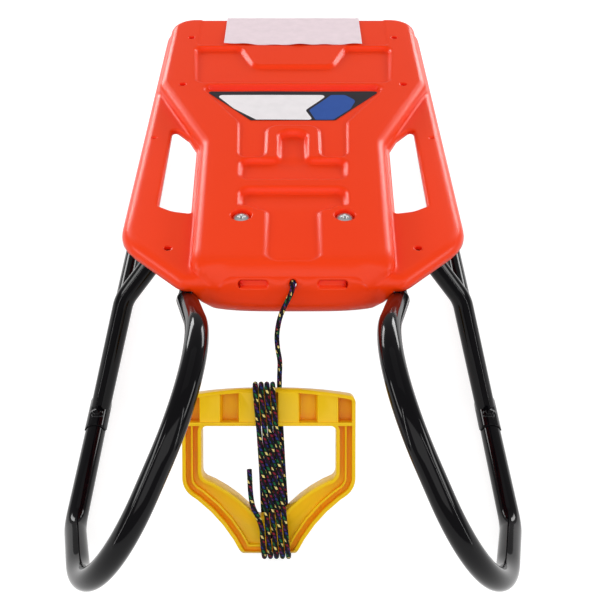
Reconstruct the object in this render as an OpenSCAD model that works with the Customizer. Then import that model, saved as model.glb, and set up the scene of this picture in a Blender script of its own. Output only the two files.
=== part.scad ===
// Snow sled: a moulded seat on two bent tube runners, with a pull handle on a rope.
// Z is up, the front points along -Y, X = 0 is the plane of symmetry, skids stand on Z = 0.
// Lengths are in millimetres. Stations run rearwards from the front corner of the skids.

/* [Tubes] */
// outer diameter of the runner and bow tubes
tube_d = 20; // [18:0.5:21.5]
// wall thickness of the tubes
tube_wall = 1.5; // [1.2:0.1:2.5]

/* [Runners] */
// distance between the centre lines of the two skids
runner_span = 403; // [390:1:420]
// lean of the front loops towards the middle, degrees from upright
runner_lean = 30.5; // [28:0.5:33]
// skid length from its front corner to its rear end
skid_len = 676; // [650:1:720]
// forward reach of the nose corner from the skid corner
nose_reach = 158; // [145:1:170]
// height of the nose corner, measured up the leaning plane
nose_rise = 90; // [84:1:96]
// setback of the loop corner ahead of the skid corner
loop_reach = 13; // [8:1:20]
// height of the loop corner, measured up the leaning plane
loop_rise = 270; // [262:1:278]
// centre line bend radius at the skid corner
skid_bend = 54; // [46:1:60]
// centre line bend radius at the nose
nose_bend = 96; // [86:1:100]
// centre line bend radius over the crest of the loop
loop_bend = 108; // [96:1:112]

/* [Bows] */
// station of the front bow's cross tube
bow_st = 212; // [208:0.5:216]
// distance from the front cross tube to the rear cross tube
bow_gap = 328; // [320:1:340]
// height of the cross tube's centre line
bow_z = 168; // [165:0.5:172]
// half length of the cross tube up to its corner
bow_half = 131; // [126:1:136]
// half width at the shoulder of the bow
shoulder_half = 170; // [165:1:175]
// height of the shoulder corner
shoulder_z = 121; // [114:1:126]
// distance from cross tube to shoulder, along the sled
shoulder_lead = 18; // [12:1:24]
// distance from cross tube to foot, along the sled
foot_lead = 67; // [60:1:74]
// centre line bend radius at the shoulder
shoulder_bend = 40; // [34:1:46]
// centre line bend radius beside the cross tube
bow_bend = 35; // [30:1:40]
// thickness of the half round foot over the skid
foot_wall = 3; // [2.5:0.25:4]
// length of the half round foot
foot_len = 42; // [38:1:48]

/* [Seat] */
// station of the seat's nose
nose_st = 122; // [119:0.5:124]
// seat length from the nose to the rear rim
seat_len = 552; // [538:1:568]
// seat width over the rims
seat_width = 332; // [328:1:340]
// height of the seat top
seat_top = 215; // [213:0.5:219]
// step from the seat top down to the wings
wing_drop = 13; // [11:0.5:14]
// wall thickness of the moulding
seat_wall = 3; // [2.5:0.25:3.5]
// radius of the rolled rim
rim_roll = 12; // [10:0.5:13]
// rounding along the top edge of the raised middle
edge_round = 8; // [6:0.5:9]
// height of the nose wall below the wings
nose_deep = 33; // [28:1:36]
// half width of the raised middle at the nose
nose_half = 93; // [91:0.5:95]
// half width of the raised middle at the waist
waist_half = 100; // [97:0.5:101]
// depth of the grip recesses in the seat top
grip_deep = 6; // [4:0.5:8]
// depth of the label recess
label_deep = 3; // [2:0.25:4]
// depth of the rear panel
panel_deep = 5; // [3:0.5:6]
// depth of the lip around the hand windows
lip_deep = 3; // [2:0.5:5]

/* [Fixings] */
// distance between the seat screws, across the sled
screw_span = 99; // [92:1:106]
// shank diameter of screws and bolts
shank_d = 6; // [5:0.5:6.5]
// head diameter of the seat screws
head_d = 16; // [14:0.5:17]
// head height of screws and bolts
head_h = 4; // [3:0.25:5]
// clearance of a shank in its hole, all round
shank_gap = 0.25; // [0.15:0.05:0.4]
// washer thickness
washer_t = 1.2; // [0.8:0.1:1.6]
// half distance between the wing bolts
wing_bolt_x = 117; // [115:0.5:119]
// distance from the seat nose back to the wing bolts
wing_bolt_in = 50; // [47:0.5:53]
// diameter of the rivet heads on the bow feet
rivet_d = 9; // [7:0.5:10]

/* [Pull handle] */
// handle width over the arms
handle_w = 154; // [148:1:164]
// handle length from the grip top to the tip
handle_len = 150; // [144:1:156]
// handle thickness
handle_t = 20; // [18:0.5:22]
// height of the grip in its middle
grip_h = 33; // [30:0.5:36]
// width of the arms
arm_w = 17; // [15:0.5:19]
// wall thickness of the handle moulding
handle_wall = 3; // [2.5:0.25:3.5]
// slope of the handle while its tip rests on the ground, degrees
handle_slope = 53; // [50:0.5:56]
// sideways place of the handle
handle_x = -21.5; // [-26:0.5:-16]

/* [Rope] */
// rope diameter
rope_d = 4.5; // [4:0.1:4.6]
// height of the rope hole in the nose
rope_z = 198; // [196:0.5:201]
// diameter of the rope hole
rope_hole_d = 9; // [8:0.5:11]
// number of turns wound round the handle
turns = 4; // [3:1:5]
// pitch of the turns over the grip
pitch_top = 5.2; // [5.1:0.1:6]
// pitch of the turns half way down
pitch_mid = 5; // [5:0.1:5.6]
// pitch of the turns under the tip
pitch_tip = 5.4; // [5.3:0.1:6.6]

/* [Print] */
// part to show

/* [Hidden] */
$fn = 72;

eps = 0.01;
fit = 0.1;
soft_gap = 0.4;
tube_r = tube_d / 2;
bore_r = tube_r - tube_wall;
half_span = runner_span / 2;
joint = 0.1;
skin = 0.04;

// plain vector helpers
function unit(v) = v / norm(v);
function turn(a, p, b) = acos(max(-1, min(1, unit(p - a) * unit(b - p))));
function run_in(a, p, b, r) = r * tan(turn(a, p, b) / 2);
function side_of(a, p, b) = let (u = unit(p - a), v = unit(b - p)) unit(v - (u * v) * u);
function bend_centre(a, p, b, r) = p - unit(p - a) * run_in(a, p, b, r) + side_of(a, p, b) * r;
function left(v) = [-v[1], v[0]];
function mirrored(list) = concat(list, [for (i = [len(list) - 1 : -1 : 0]) [-list[i][0], list[i][1]]]);
function back_to_front(list) = [for (i = [len(list) - 1 : -1 : 0]) list[i]];

// closed outline helpers, outlines run anticlockwise
function at(list, i) = list[(i + len(list)) % len(list)];
function edge_dir(list, i) = unit(at(list, i + 1) - at(list, i));
function is_left(list, i) = left(edge_dir(list, i - 1)) * edge_dir(list, i) > 0;
function inset(list, d) = [for (i = [0 : len(list) - 1])
    let (m = left(edge_dir(list, i - 1)), n = left(edge_dir(list, i)))
    list[i] + d * (m + n) / (1 + m * n)];
function inset_r(list, radii, d) = [for (i = [0 : len(list) - 1])
    radii[i] == 0 ? 0 : max(1, radii[i] + (is_left(list, i) ? -d : d))];
arc_steps = 10;
function corner(a, p, b, r) = r == 0 || turn(a, p, b) < 1 ? [p] :
    let (c = bend_centre(a, p, b, r), u = unit(p - a), n = side_of(a, p, b), w = turn(a, p, b))
    [for (k = [0 : arc_steps]) let (g = w * k / arc_steps) c - n * r * cos(g) + u * r * sin(g)];
function rounded(list, radii) = [for (i = [0 : len(list) - 1])
    each corner(at(list, i - 1), list[i], at(list, i + 1), radii[i])];

// a strip of profile carried along one straight, profile x to the left and y upwards
module strip(p, q) {
    d = unit(q - p);
    n = left(d);
    multmatrix([[n[0], 0, d[0], p[0]], [n[1], 0, d[1], p[1]], [0, 1, 0, 0], [0, 0, 0, 1]])
        linear_extrude(norm(q - p)) children();
}

// the same profile carried round one corner of the path
module strip_corner(a, p, b, r) {
    w = turn(a, p, b);
    c = bend_centre(a, p, b, r);
    n = side_of(a, p, b);
    lefty = left(unit(p - a)) * unit(b - p) > 0;
    start = atan2(-n[1], -n[0]);
    translate([c[0], c[1], 0]) rotate([0, 0, lefty ? start : start - w])
        rotate_extrude(angle = w) translate([r, 0]) mirror([lefty ? 1 : 0, 0]) children();
}

// a path of straights and corners in plan, joined by hair thin collars of the second child
module path_strip(list, radii, closed = false) {
    last = len(list) - 1;
    for (i = [0 : last - 1]) {
        d = unit(list[i + 1] - list[i]);
        cut_a = i > 0 ? run_in(list[i - 1], list[i], list[i + 1], radii[i]) : 0;
        cut_b = i < last - 1 ? run_in(list[i], list[i + 1], list[i + 2], radii[i + 1]) : 0;
        trim_a = i > 0 || closed ? joint : 0;
        trim_b = i < last - 1 || closed ? joint : 0;
        p = list[i] + d * cut_a;
        q = list[i + 1] - d * cut_b;
        strip(p + d * trim_a, q - d * trim_b) children(0);
        if (trim_a > 0)
            strip(p - d * 2 * joint, p + d * 2 * joint) children(1);
        if (i < last - 1)
            strip(q - d * 2 * joint, q + d * 2 * joint) children(1);
    }
    for (i = [1 : 1 : last - 1])
        strip_corner(list[i - 1], list[i], list[i + 1], radii[i]) children(0);
}

// a piece of tube standing on the XY plane
module pipe(h, ro, ri) {
    linear_extrude(h) difference() {
        circle(r = ro);
        circle(r = ri);
    }
}

// a frame with its Z axis along d
module along(p, d) {
    side = abs(d[2]) > 0.9 ? unit(cross([1, 0, 0], d)) : unit(cross([0, 0, 1], d));
    up = cross(d, side);
    multmatrix([[side[0], up[0], d[0], p[0]], [side[1], up[1], d[1], p[1]],
        [side[2], up[2], d[2], p[2]], [0, 0, 0, 1]]) children();
}

// a tube along a bent centre line, straights and bends joined by hair thin collars
module bent_tube(list, radii) {
    last = len(list) - 1;
    for (i = [0 : last - 1]) {
        d = unit(list[i + 1] - list[i]);
        cut_a = i == 0 ? 0 : run_in(list[i - 1], list[i], list[i + 1], radii[i]) + joint;
        cut_b = i == last - 1 ? 0 : run_in(list[i], list[i + 1], list[i + 2], radii[i + 1]) + joint;
        along(list[i] + d * cut_a, d)
            pipe(norm(list[i + 1] - list[i]) - cut_a - cut_b, tube_r, bore_r);
    }
    for (i = [1 : 1 : last - 1]) {
        a = list[i - 1];
        p = list[i];
        b = list[i + 1];
        u = unit(p - a);
        v = unit(b - p);
        n = side_of(a, p, b);
        c = bend_centre(a, p, b, radii[i]);
        w = cross(-n, u);
        cut = run_in(a, p, b, radii[i]);
        multmatrix([[-n[0], u[0], w[0], c[0]], [-n[1], u[1], w[1], c[1]],
            [-n[2], u[2], w[2], c[2]], [0, 0, 0, 1]])
            rotate_extrude(angle = turn(a, p, b)) translate([radii[i], 0]) difference() {
                circle(r = tube_r);
                circle(r = bore_r);
            }
        along(p - u * (cut + 2 * joint), u) pipe(4 * joint, tube_r + skin, bore_r - skin);
        along(p + v * (cut - 2 * joint), v) pipe(4 * joint, tube_r + skin, bore_r - skin);
    }
}

module both_sides() {
    children();
    mirror([1, 0, 0]) children();
}

module peg(x, st, z0, z1, r) {
    translate([x, st, z0]) cylinder(r = r, h = z1 - z0);
}

module slab(list, z0, z1) {
    translate([0, 0, z0]) linear_extrude(z1 - z0) polygon(list);
}

// heights of the seat
wing_top = seat_top - wing_drop;
wing_low = wing_top - seat_wall;
top_low = seat_top - seat_wall;
rim_low = wing_top - rim_roll;
nose_low = wing_top - nose_deep;
rear_st = nose_st + seat_len;
// a place along the seat, given for a seat of the length drawn, moves with the seat's length
seat_drawn = 552;
function along(d) = nose_st + d * seat_len / seat_drawn;
seat_half = seat_width / 2;
bow_top = bow_z + tube_r;
bow_rear_st = bow_st + bow_gap;

// runner centre line, the loop lies in a leaning plane through the skid
function lean_point(y, s) = [half_span - s * sin(runner_lean), y, tube_r + s * cos(runner_lean)];
wing_bolt_st = nose_st + wing_bolt_in;
tab_t = 2 * tube_wall + 1;
tab_w = 24;
tab_z = wing_top - 26;
tab_root = [wing_bolt_x - 20.5, wing_bolt_st - 44.5, tab_z];
runner_line = [lean_point(skid_len, 0), lean_point(0, 0), lean_point(-nose_reach, nose_rise),
    lean_point(-loop_reach, loop_rise), tab_root];
runner_bends = [0, skid_bend, nose_bend, loop_bend, 0];

// the foremost point of the loop sets the middle of the sled
loop_flat = [[0, 0], [-nose_reach, nose_rise], [-loop_reach, loop_rise]];
loop_front = bend_centre(loop_flat[0], loop_flat[1], loop_flat[2], nose_bend)[0] - nose_bend - tube_r;
cap_flange = 4;
cap_plug = 15;
mid_st = (loop_front + skid_len + cap_flange) / 2;

module placed() {
    translate([0, -mid_st, 0]) children();
}

// bows
foot_st = -foot_lead;
bow_line_half = [[half_span, foot_st, tube_r], [shoulder_half, -shoulder_lead, shoulder_z],
    [bow_half, 0, bow_z]];
bow_line = concat(bow_line_half, [for (i = [2 : -1 : 0])
    [-bow_line_half[i][0], bow_line_half[i][1], bow_line_half[i][2]]]);
bow_bends = [0, shoulder_bend, bow_bend, bow_bend, shoulder_bend, 0];
foot_front = foot_st - foot_len * 0.7;
rivet_st = foot_st - foot_len * 0.3;
saddle_r = tube_r + fit;
foot_r = saddle_r + foot_wall;
pad_r = rivet_d / 2 + 1.5;
pad_z = tube_r + foot_r + 0.6;
rivet_r = 2.4;
rivet_hole_r = rivet_r + fit;
rivet_dome = 3;

// seat outlines in plan, right half first
chin = 98;
rim_path_half = [[62, nose_st + 9], [chin, nose_st + 2], [seat_half, nose_st + 2 + seat_half - chin],
    [seat_half, rear_st]];
rim_path = mirrored(rim_path_half);
rim_bends = [0, 20, 60, 38, 38, 60, 20, 0];
block_half = seat_half - 6;
waist_st = along(224);
hip_st = along(360);
block_half_path = [[nose_half, nose_st], [waist_half, waist_st], [block_half, hip_st],
    [block_half, rear_st - 7]];
block_path = mirrored(block_half_path);
block_bends = [25, 25, 30, 32, 32, 30, 25, 25];
block_seam = [0, nose_st];
lap = 1;
lip = 2;
wing_edge = rounded(inset(rim_path, rim_roll + lap), inset_r(rim_path, rim_bends, rim_roll + lap));
block_in = rounded(inset(block_path, seat_wall / 2), inset_r(block_path, block_bends, seat_wall / 2));
block_top_edge = rounded(inset(block_path, edge_round + lap),
    inset_r(block_path, block_bends, edge_round + lap));

// sections of the moulded edges, x inwards and y upwards
sec_steps = 6;
function roll(x, z, r, from, to) = [for (k = [0 : sec_steps])
    let (g = from + (to - from) * k / sec_steps) [x + r * cos(g), z + r * sin(g)]];
function rim_section(g) = concat(
    roll(rim_roll, rim_low, rim_roll + g, 90, 180),
    [[-g, rim_low - g], [seat_wall + g, rim_low - g]],
    roll(rim_roll, rim_low, rim_roll - seat_wall - g, 180, 90),
    [[rim_roll + lip + g, wing_low - g], [rim_roll + lip + g, wing_top + g]]);
block_foot = wing_low - 2;
block_roll = seat_top - edge_round;
function block_section(g) = concat(
    [[-g, block_foot - g]],
    roll(edge_round, block_roll, edge_round + g, 180, 90),
    [[edge_round + lip + g, seat_top + g], [edge_round + lip + g, top_low - g]],
    roll(edge_round, block_roll, edge_round - seat_wall - g, 90, 180),
    [[seat_wall + g, block_foot - g]]);

// nose skirt under the wings
skirt_half = nose_half - 9;
skirt_st = nose_st + seat_wall / 2;
skirt_path = [[-skirt_half, nose_st + 64], [-skirt_half, skirt_st], [skirt_half, skirt_st],
    [skirt_half, nose_st + 64]];
skirt_bends = [0, 32, 32, 0];

// hand windows in the wings
window = [[waist_half + 5, along(109)], [seat_half - 32, along(120)], [seat_half - 32, along(275)],
    [waist_half + 14.5, along(251)], [waist_half + 5, along(229)]];
window_bends = [8, 8, 8, 10, 10];

// recesses in the seat top
bar_front = along(103.5);
bar_rear = along(133);
tee_bar = along(188);
tee_end = along(246);
front_tee = mirrored([[25, along(16)], [25, bar_front], [52, bar_front], [52, bar_rear]]);
rear_tee = mirrored([[54, along(150)], [54, tee_bar], [14, tee_bar], [14, tee_end]]);
ridge_half = 28.5;
label_front = along(192);
label_end = along(352);
label_pit = mirrored([[ridge_half, along(259)], [ridge_half, label_front], [57, label_front],
    [60, along(266)], [110, label_end]]);
panel_rear = along(455);
panel_pit = mirrored([[114, along(359)], [122, panel_rear], [66.5, panel_rear], [47.5, along(402)]]);
ledge_deep = 1;
ledge_half = 120;
ledge_pit = mirrored([[ledge_half, along(459)], [ledge_half, rear_st + 20]]);
socket_w = 7;
socket_x = 129.5;
socket_sts = [along(481), along(353)];

// fixings
screw_x = screw_span / 2;
pocket_deep = 9;
pocket_floor = seat_top - pocket_deep;
pocket_r = head_d / 2 + 2.2;
hole_r = shank_d / 2 + shank_gap;
boss_r = 10;
washer_r = head_d / 2 + 1;
nut_af = shank_d + 4;
nut_r = nut_af / 2 / cos(30);
nut_h = shank_d - 0.5;
wing_pocket_deep = 8;
wing_floor = wing_top - wing_pocket_deep;
wing_head_d = shank_d + 4.5;
wing_pocket_r = wing_head_d / 2 + 1;
wing_boss_r = hole_r + 4;
tab_top = tab_z + tab_t / 2;
pilot_r = shank_d / 2 + fit;
pilot_top = top_low - panel_deep - 2;

module seat_shell() {
    color("#fa4818") placed() difference() {
        union() {
            path_strip(rim_path, rim_bends) {
                polygon(rim_section(0));
                polygon(rim_section(skin));
            }
            path_strip(concat([block_seam], block_path, [block_seam]), concat([0], block_bends, [0]), true) {
                polygon(block_section(0));
                polygon(block_section(skin));
            }
            difference() {
                slab(wing_edge, wing_low, wing_top);
                slab(block_in, wing_low - 1, wing_top + 1);
            }
            slab(block_top_edge, top_low, seat_top);
            path_strip(skirt_path, skirt_bends) {
                translate([0, nose_low]) square([seat_wall, wing_low + 1 - nose_low]);
                translate([-skin, nose_low - skin])
                    square([seat_wall + 2 * skin, wing_low + 1 - nose_low]);
            }
            both_sides() {
                slab(rounded(inset(window, -seat_wall), inset_r(window, window_bends, -seat_wall)),
                    wing_low - lip_deep, wing_low + 1);
                peg(screw_x, bow_st, pocket_floor - seat_wall, seat_top - 1, pocket_r + seat_wall);
                peg(screw_x, bow_st, bow_z, pocket_floor - 1, boss_r);
                peg(screw_x, bow_rear_st, bow_z, top_low - panel_deep + 1, boss_r);
                peg(wing_bolt_x, wing_bolt_st, wing_floor - seat_wall, wing_top - 1,
                    wing_pocket_r + seat_wall);
                peg(wing_bolt_x, wing_bolt_st, tab_top, wing_floor - 1, wing_boss_r);
            }
            slab(inset(front_tee, -seat_wall), top_low - grip_deep, seat_top - 1);
            slab(inset(rear_tee, -seat_wall), top_low - grip_deep, seat_top - 1);
            slab(inset(label_pit, -seat_wall), top_low - label_deep, seat_top - 1);
            slab(inset(panel_pit, -seat_wall), top_low - panel_deep, seat_top - 1);
        }
        slab(front_tee, seat_top - grip_deep, seat_top + 1);
        slab(rear_tee, seat_top - grip_deep, seat_top + 1);
        slab(label_pit, seat_top - label_deep, seat_top + 1);
        slab(panel_pit, seat_top - panel_deep, seat_top + 1);
        slab(ledge_pit, seat_top - ledge_deep, seat_top + 1);
        both_sides() {
            slab(rounded(window, window_bends), wing_low - lip_deep - 1, wing_top + 1);
            peg(screw_x, bow_st, pocket_floor, seat_top + 1, pocket_r);
            peg(screw_x, bow_st, bow_z - 1, seat_top, hole_r);
            peg(screw_x, bow_rear_st, bow_z - 1, pilot_top, pilot_r);
            peg(wing_bolt_x, wing_bolt_st, wing_floor, wing_top + 1, wing_pocket_r);
            peg(wing_bolt_x, wing_bolt_st, tab_top - 1, wing_top, hole_r);
            for (st = [bow_st, bow_rear_st])
                translate([screw_x - 2 * boss_r, st, bow_z]) rotate([0, 90, 0])
                    cylinder(r = saddle_r, h = 4 * boss_r);
            for (st = socket_sts)
                translate([socket_x - socket_w / 2, st - socket_w / 2, top_low - 1])
                    cube([socket_w, socket_w, seat_wall + 2]);
            translate([22, nose_st - 1, rope_z - 1]) cube([27, 1 + seat_wall / 2, 7]);
        }
        translate([0, nose_st - 1, rope_z]) rotate([-90, 0, 0])
            cylinder(d = rope_hole_d, h = 3 * seat_wall);
    }
}

module runner() {
    tab_run = [wing_bolt_x - tab_root[0], wing_bolt_st - tab_root[1]];
    difference() {
        union() {
            bent_tube(runner_line, runner_bends);
            translate([0, 0, tab_z - tab_t / 2]) linear_extrude(tab_t) union() {
                translate([wing_bolt_x, wing_bolt_st]) circle(d = tab_w);
                translate([tab_root[0], tab_root[1]])
                    rotate([0, 0, atan2(tab_run[1], tab_run[0])])
                    translate([-tube_r, -tab_w / 2 + 1]) square([tube_r + norm(tab_run), tab_w - 2]);
            }
        }
        peg(wing_bolt_x, wing_bolt_st, tab_z - tab_t, tab_z + tab_t, hole_r);
        for (st = [bow_st - foot_lead - foot_len * 0.3, bow_rear_st + foot_lead + foot_len * 0.3])
            peg(half_span, st, tube_r, tube_d + 1, rivet_hole_r);
    }
}

module right_runner() {
    color("#141416") placed() runner();
}

module left_runner() {
    color("#141416") placed() mirror([1, 0, 0]) runner();
}

module runner_cap() {
    translate([half_span, skid_len, tube_r]) rotate([-90, 0, 0]) {
        cylinder(r = tube_r, h = cap_flange);
        translate([0, 0, -cap_plug]) cylinder(r = bore_r - fit, h = cap_plug + 1);
    }
}

module right_runner_cap() {
    color("#1c1c1e") placed() runner_cap();
}

module left_runner_cap() {
    color("#1c1c1e") placed() mirror([1, 0, 0]) runner_cap();
}

// one bow about its own cross tube, feet towards the front
module bow() {
    difference() {
        union() {
            bent_tube(bow_line, bow_bends);
            both_sides() {
                difference() {
                    translate([half_span, foot_front, tube_r]) rotate([-90, 0, 0])
                        cylinder(r = foot_r, h = foot_len);
                    translate([half_span - 2 * foot_r, foot_front - 1, tube_r - 2 * foot_r - 1])
                        cube([4 * foot_r, foot_len + 2, 2 * foot_r]);
                }
                peg(half_span, rivet_st, tube_r, pad_z, pad_r);
            }
        }
        both_sides() {
            translate([half_span, foot_front - foot_len, tube_r]) rotate([-90, 0, 0])
                cylinder(r = saddle_r, h = 3 * foot_len);
            peg(half_span, rivet_st, tube_r, pad_z + 1, rivet_hole_r);
            peg(screw_x, 0, bow_z - tube_d, bow_z + tube_d, hole_r);
        }
    }
}

module front_bow() {
    color("#141416") placed() translate([0, bow_st, 0]) bow();
}

module rear_bow() {
    color("#141416") placed() translate([0, bow_rear_st, 0]) mirror([0, 1, 0]) bow();
}

module rivet_pair() {
    both_sides() {
        translate([half_span, rivet_st, pad_z]) intersection() {
            translate([0, 0, rivet_dome - dome_ball]) sphere(r = dome_ball);
            cylinder(d = rivet_d + 1, h = rivet_dome + 1);
        }
        peg(half_span, rivet_st, tube_d - 2 * tube_wall, pad_z + 1, rivet_r);
    }
}
dome_ball = (rivet_dome * rivet_dome + rivet_d * rivet_d / 4) / (2 * rivet_dome);

module front_bow_rivets() {
    color("#2a2a2d") placed() translate([0, bow_st, 0]) rivet_pair();
}

module rear_bow_rivets() {
    color("#2a2a2d") placed() translate([0, bow_rear_st, 0]) mirror([0, 1, 0]) rivet_pair();
}

screw_seat = pocket_floor + washer_t;
nut_low = bow_z - tube_r - nut_h;

module seat_screws() {
    color("#c9ccd1") placed() both_sides() translate([screw_x, bow_st, 0]) difference() {
        union() {
            peg(0, 0, screw_seat, screw_seat + head_h, head_d / 2);
            peg(0, 0, nut_low - 2, screw_seat + 1, shank_d / 2);
        }
        for (g = [0, 90])
            rotate([0, 0, g]) translate([-head_d / 4, -0.8, screw_seat + head_h - 2])
                cube([head_d / 2, 1.6, 3]);
    }
}

module seat_washers() {
    color("#b9bdc2") placed() both_sides() difference() {
        peg(screw_x, bow_st, pocket_floor, screw_seat, washer_r);
        peg(screw_x, bow_st, pocket_floor - 1, screw_seat + 1, hole_r);
    }
}

module nut(x, st, z) {
    translate([x, st, z]) difference() {
        cylinder(r = nut_r, h = nut_h, $fn = 6);
        translate([0, 0, -1]) cylinder(r = shank_d / 2 + fit, h = nut_h + 2);
    }
}

module seat_nuts() {
    color("#b9bdc2") placed() both_sides() nut(screw_x, bow_st, nut_low);
}

module rear_seat_screws() {
    color("#b9bdc2") placed() both_sides() {
        peg(screw_x, bow_rear_st, bow_z - tube_r - head_h, bow_z - tube_r, head_d / 2);
        peg(screw_x, bow_rear_st, bow_z - tube_r - 1, pilot_top - 4, shank_d / 2);
    }
}

tab_low = tab_z - tab_t / 2;

module wing_bolts() {
    color("#2a2a2d") placed() both_sides() {
        peg(wing_bolt_x, wing_bolt_st, wing_floor, wing_floor + head_h, wing_head_d / 2);
        peg(wing_bolt_x, wing_bolt_st, tab_low - nut_h - 2, wing_floor + 1, shank_d / 2);
    }
}

module wing_nuts() {
    color("#2a2a2d") placed() both_sides() nut(wing_bolt_x, wing_bolt_st, tab_low - nut_h);
}

// rope and handle share a frame with the grip top as origin
rope_r = rope_d / 2;
wrap_gap = 0.75;
handle_half = handle_t / 2;
end_round = handle_half - 0.5;
wrap_off = rope_r + wrap_gap;
wrap_n = handle_half + wrap_off;
fold_r = end_round + wrap_off;
fold_y = handle_len + wrap_off - fold_r;
fold_n = wrap_n - fold_r;
floor_gap = 0.5;
grip_z = floor_gap + rope_r + fold_r + fold_n * cos(handle_slope) + fold_y * sin(handle_slope);
hinge_out = 6;
lead_gap = 0.35;
hinge = [0, nose_st - hinge_out, rope_z];
lead_len = (rope_z - grip_z) / sin(handle_slope);
grip_at = [handle_x, hinge[1] - lead_len * cos(handle_slope), grip_z];
echo(hinge_y = hinge[1] - mid_st, hinge_z = hinge[2], lead = lead_len, grip = grip_at - [0, mid_st, 0]);

module at_handle() {
    placed() translate(grip_at) rotate([handle_slope, 0, 0]) children();
}

// winding: distance run along one turn gives the place on a rounded rectangle
wrap_top = fold_r - wrap_off;
wrap_mid_top = -2;
wrap_mid_tip = 9;
stations_down = [for (k = [0 : 5]) k / 5];
fold_angles = [for (k = [1 : 3]) 30 * k];
function down(k) = -wrap_top - k * (fold_y - wrap_top);
one_turn = concat(
    [for (k = stations_down) [down(k), -wrap_n, 0.4 * k]],
    [for (g = fold_angles) [-fold_y - fold_r * sin(g), -fold_n - fold_r * cos(g), 0.4 + 0.05 * g / 90]],
    [for (g = fold_angles) [-fold_y - fold_r * cos(g - 30), fold_n + fold_r * sin(g - 30),
        0.45 + 0.05 * (g - 30) / 90]],
    [for (k = stations_down) [down(1 - k), wrap_n, 0.5 + 0.4 * k]],
    [for (g = fold_angles) [-wrap_top + fold_r * sin(g), fold_n + fold_r * cos(g), 0.9 + 0.05 * g / 90]],
    [for (g = fold_angles) [-wrap_top + fold_r * cos(g - 30), -fold_n - fold_r * sin(g - 30),
        0.95 + 0.05 * (g - 30) / 90]]);
turn_len = len(one_turn);
function down_part(y) = -y / handle_len;
function pitch(y) = let (t = down_part(y)) t < 0.5 ?
    pitch_top + (pitch_mid - pitch_top) * 2 * t : pitch_mid + (pitch_tip - pitch_mid) * (2 * t - 1);
function wind_x(n, y) = wrap_mid_top + (wrap_mid_tip - wrap_mid_top) * down_part(y)
    + pitch(y) * (turns / 2 - n);
wound = [for (k = [0 : turns]) for (i = [0 : turn_len - 1])
    if (k < turns || i < 12)
    let (q = one_turn[i]) [wind_x(k + q[2], q[0]), q[0], q[1]]];
hank_end = wound[len(wound) - 1];
tail = [hank_end + [-0.5, 7, 1], hank_end + [-1, 16, 1.5], hank_end + [-4, 26, 2], hank_end + [-9, 37, 2.5],
    hank_end + [-11, 50, 2.5], hank_end + [-11.5, 60, 2.5], hank_end + [-12, 70, 2.5]];
hinge_at = [-handle_x, lead_len, 0];
lead_b = [wound[0][0] + 0.5, 22, -wrap_n + 1.5];
lead_a = hinge_at + unit(lead_b - hinge_at) * (rope_r + lead_gap);
lead_c = [wound[0][0] + 0.2, 8, -wrap_n];
lead = concat([for (k = [0 : 6]) lead_a + (lead_b - lead_a) * k / 6], [lead_c]);
rope_line = concat(lead, wound, tail);
rope_n = len(rope_line);
function gap_from(i) = min([for (j = [i + 9 : 1 : rope_n - 1]) norm(rope_line[j] - rope_line[i])]);
self_gap = min([for (i = [0 : rope_n - 12]) gap_from(i)]) - rope_d;
echo(self_gap = self_gap);
rope_sides = 6;
rope_rings = [for (i = [0 : rope_n - 1])
    let (t = unit(rope_line[min(i + 1, rope_n - 1)] - rope_line[max(i - 1, 0)]),
        u = unit(cross(t, [1, 0, 0])), v = cross(t, u))
    for (k = [0 : rope_sides - 1]) let (g = 360 * k / rope_sides)
        rope_line[i] + rope_r * (u * cos(g) + v * sin(g))];
rope_faces = concat(
    [for (k = [1 : rope_sides - 2]) [0, k, k + 1]],
    [for (i = [0 : rope_n - 2]) for (k = [0 : rope_sides - 1])
        let (m = (k + 1) % rope_sides, b = i * rope_sides)
        each [[b + k, b + k + rope_sides, b + m], [b + m, b + k + rope_sides, b + m + rope_sides]]],
    [for (k = [1 : rope_sides - 2]) let (b = (rope_n - 1) * rope_sides) [b, b + k + 1, b + k]]);

module tow_rope() {
    color("#16161a") at_handle() polyhedron(rope_rings, rope_faces);
}

// stopper knot inside the nose with its stub through the hole
knot_r = rope_hole_d / 2 + 4;
knot_t = 9;
module rope_knot() {
    color("#16161a") placed() translate([0, nose_st, rope_z]) rotate([-90, 0, 0]) {
        translate([0, 0, -hinge_out]) sphere(r = rope_r);
        translate([0, 0, -hinge_out]) cylinder(r = rope_r - fit / 2, h = hinge_out + knot_back + 1);
        translate([0, 0, knot_back]) cylinder(r = knot_r, h = knot_t);
    }
}
knot_back = skirt_st + seat_wall - nose_st;

// handle outlines in its own plane
hw = handle_w / 2;
grip_end = 7;
arm_low = handle_len * 0.6;
tip_half = 23.5;
arch_steps = 12;
arch = [for (k = [0 : arch_steps]) let (x = hw * (1 - 2 * k / arch_steps)) [x, -grip_end * x * x / hw / hw]];
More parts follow.
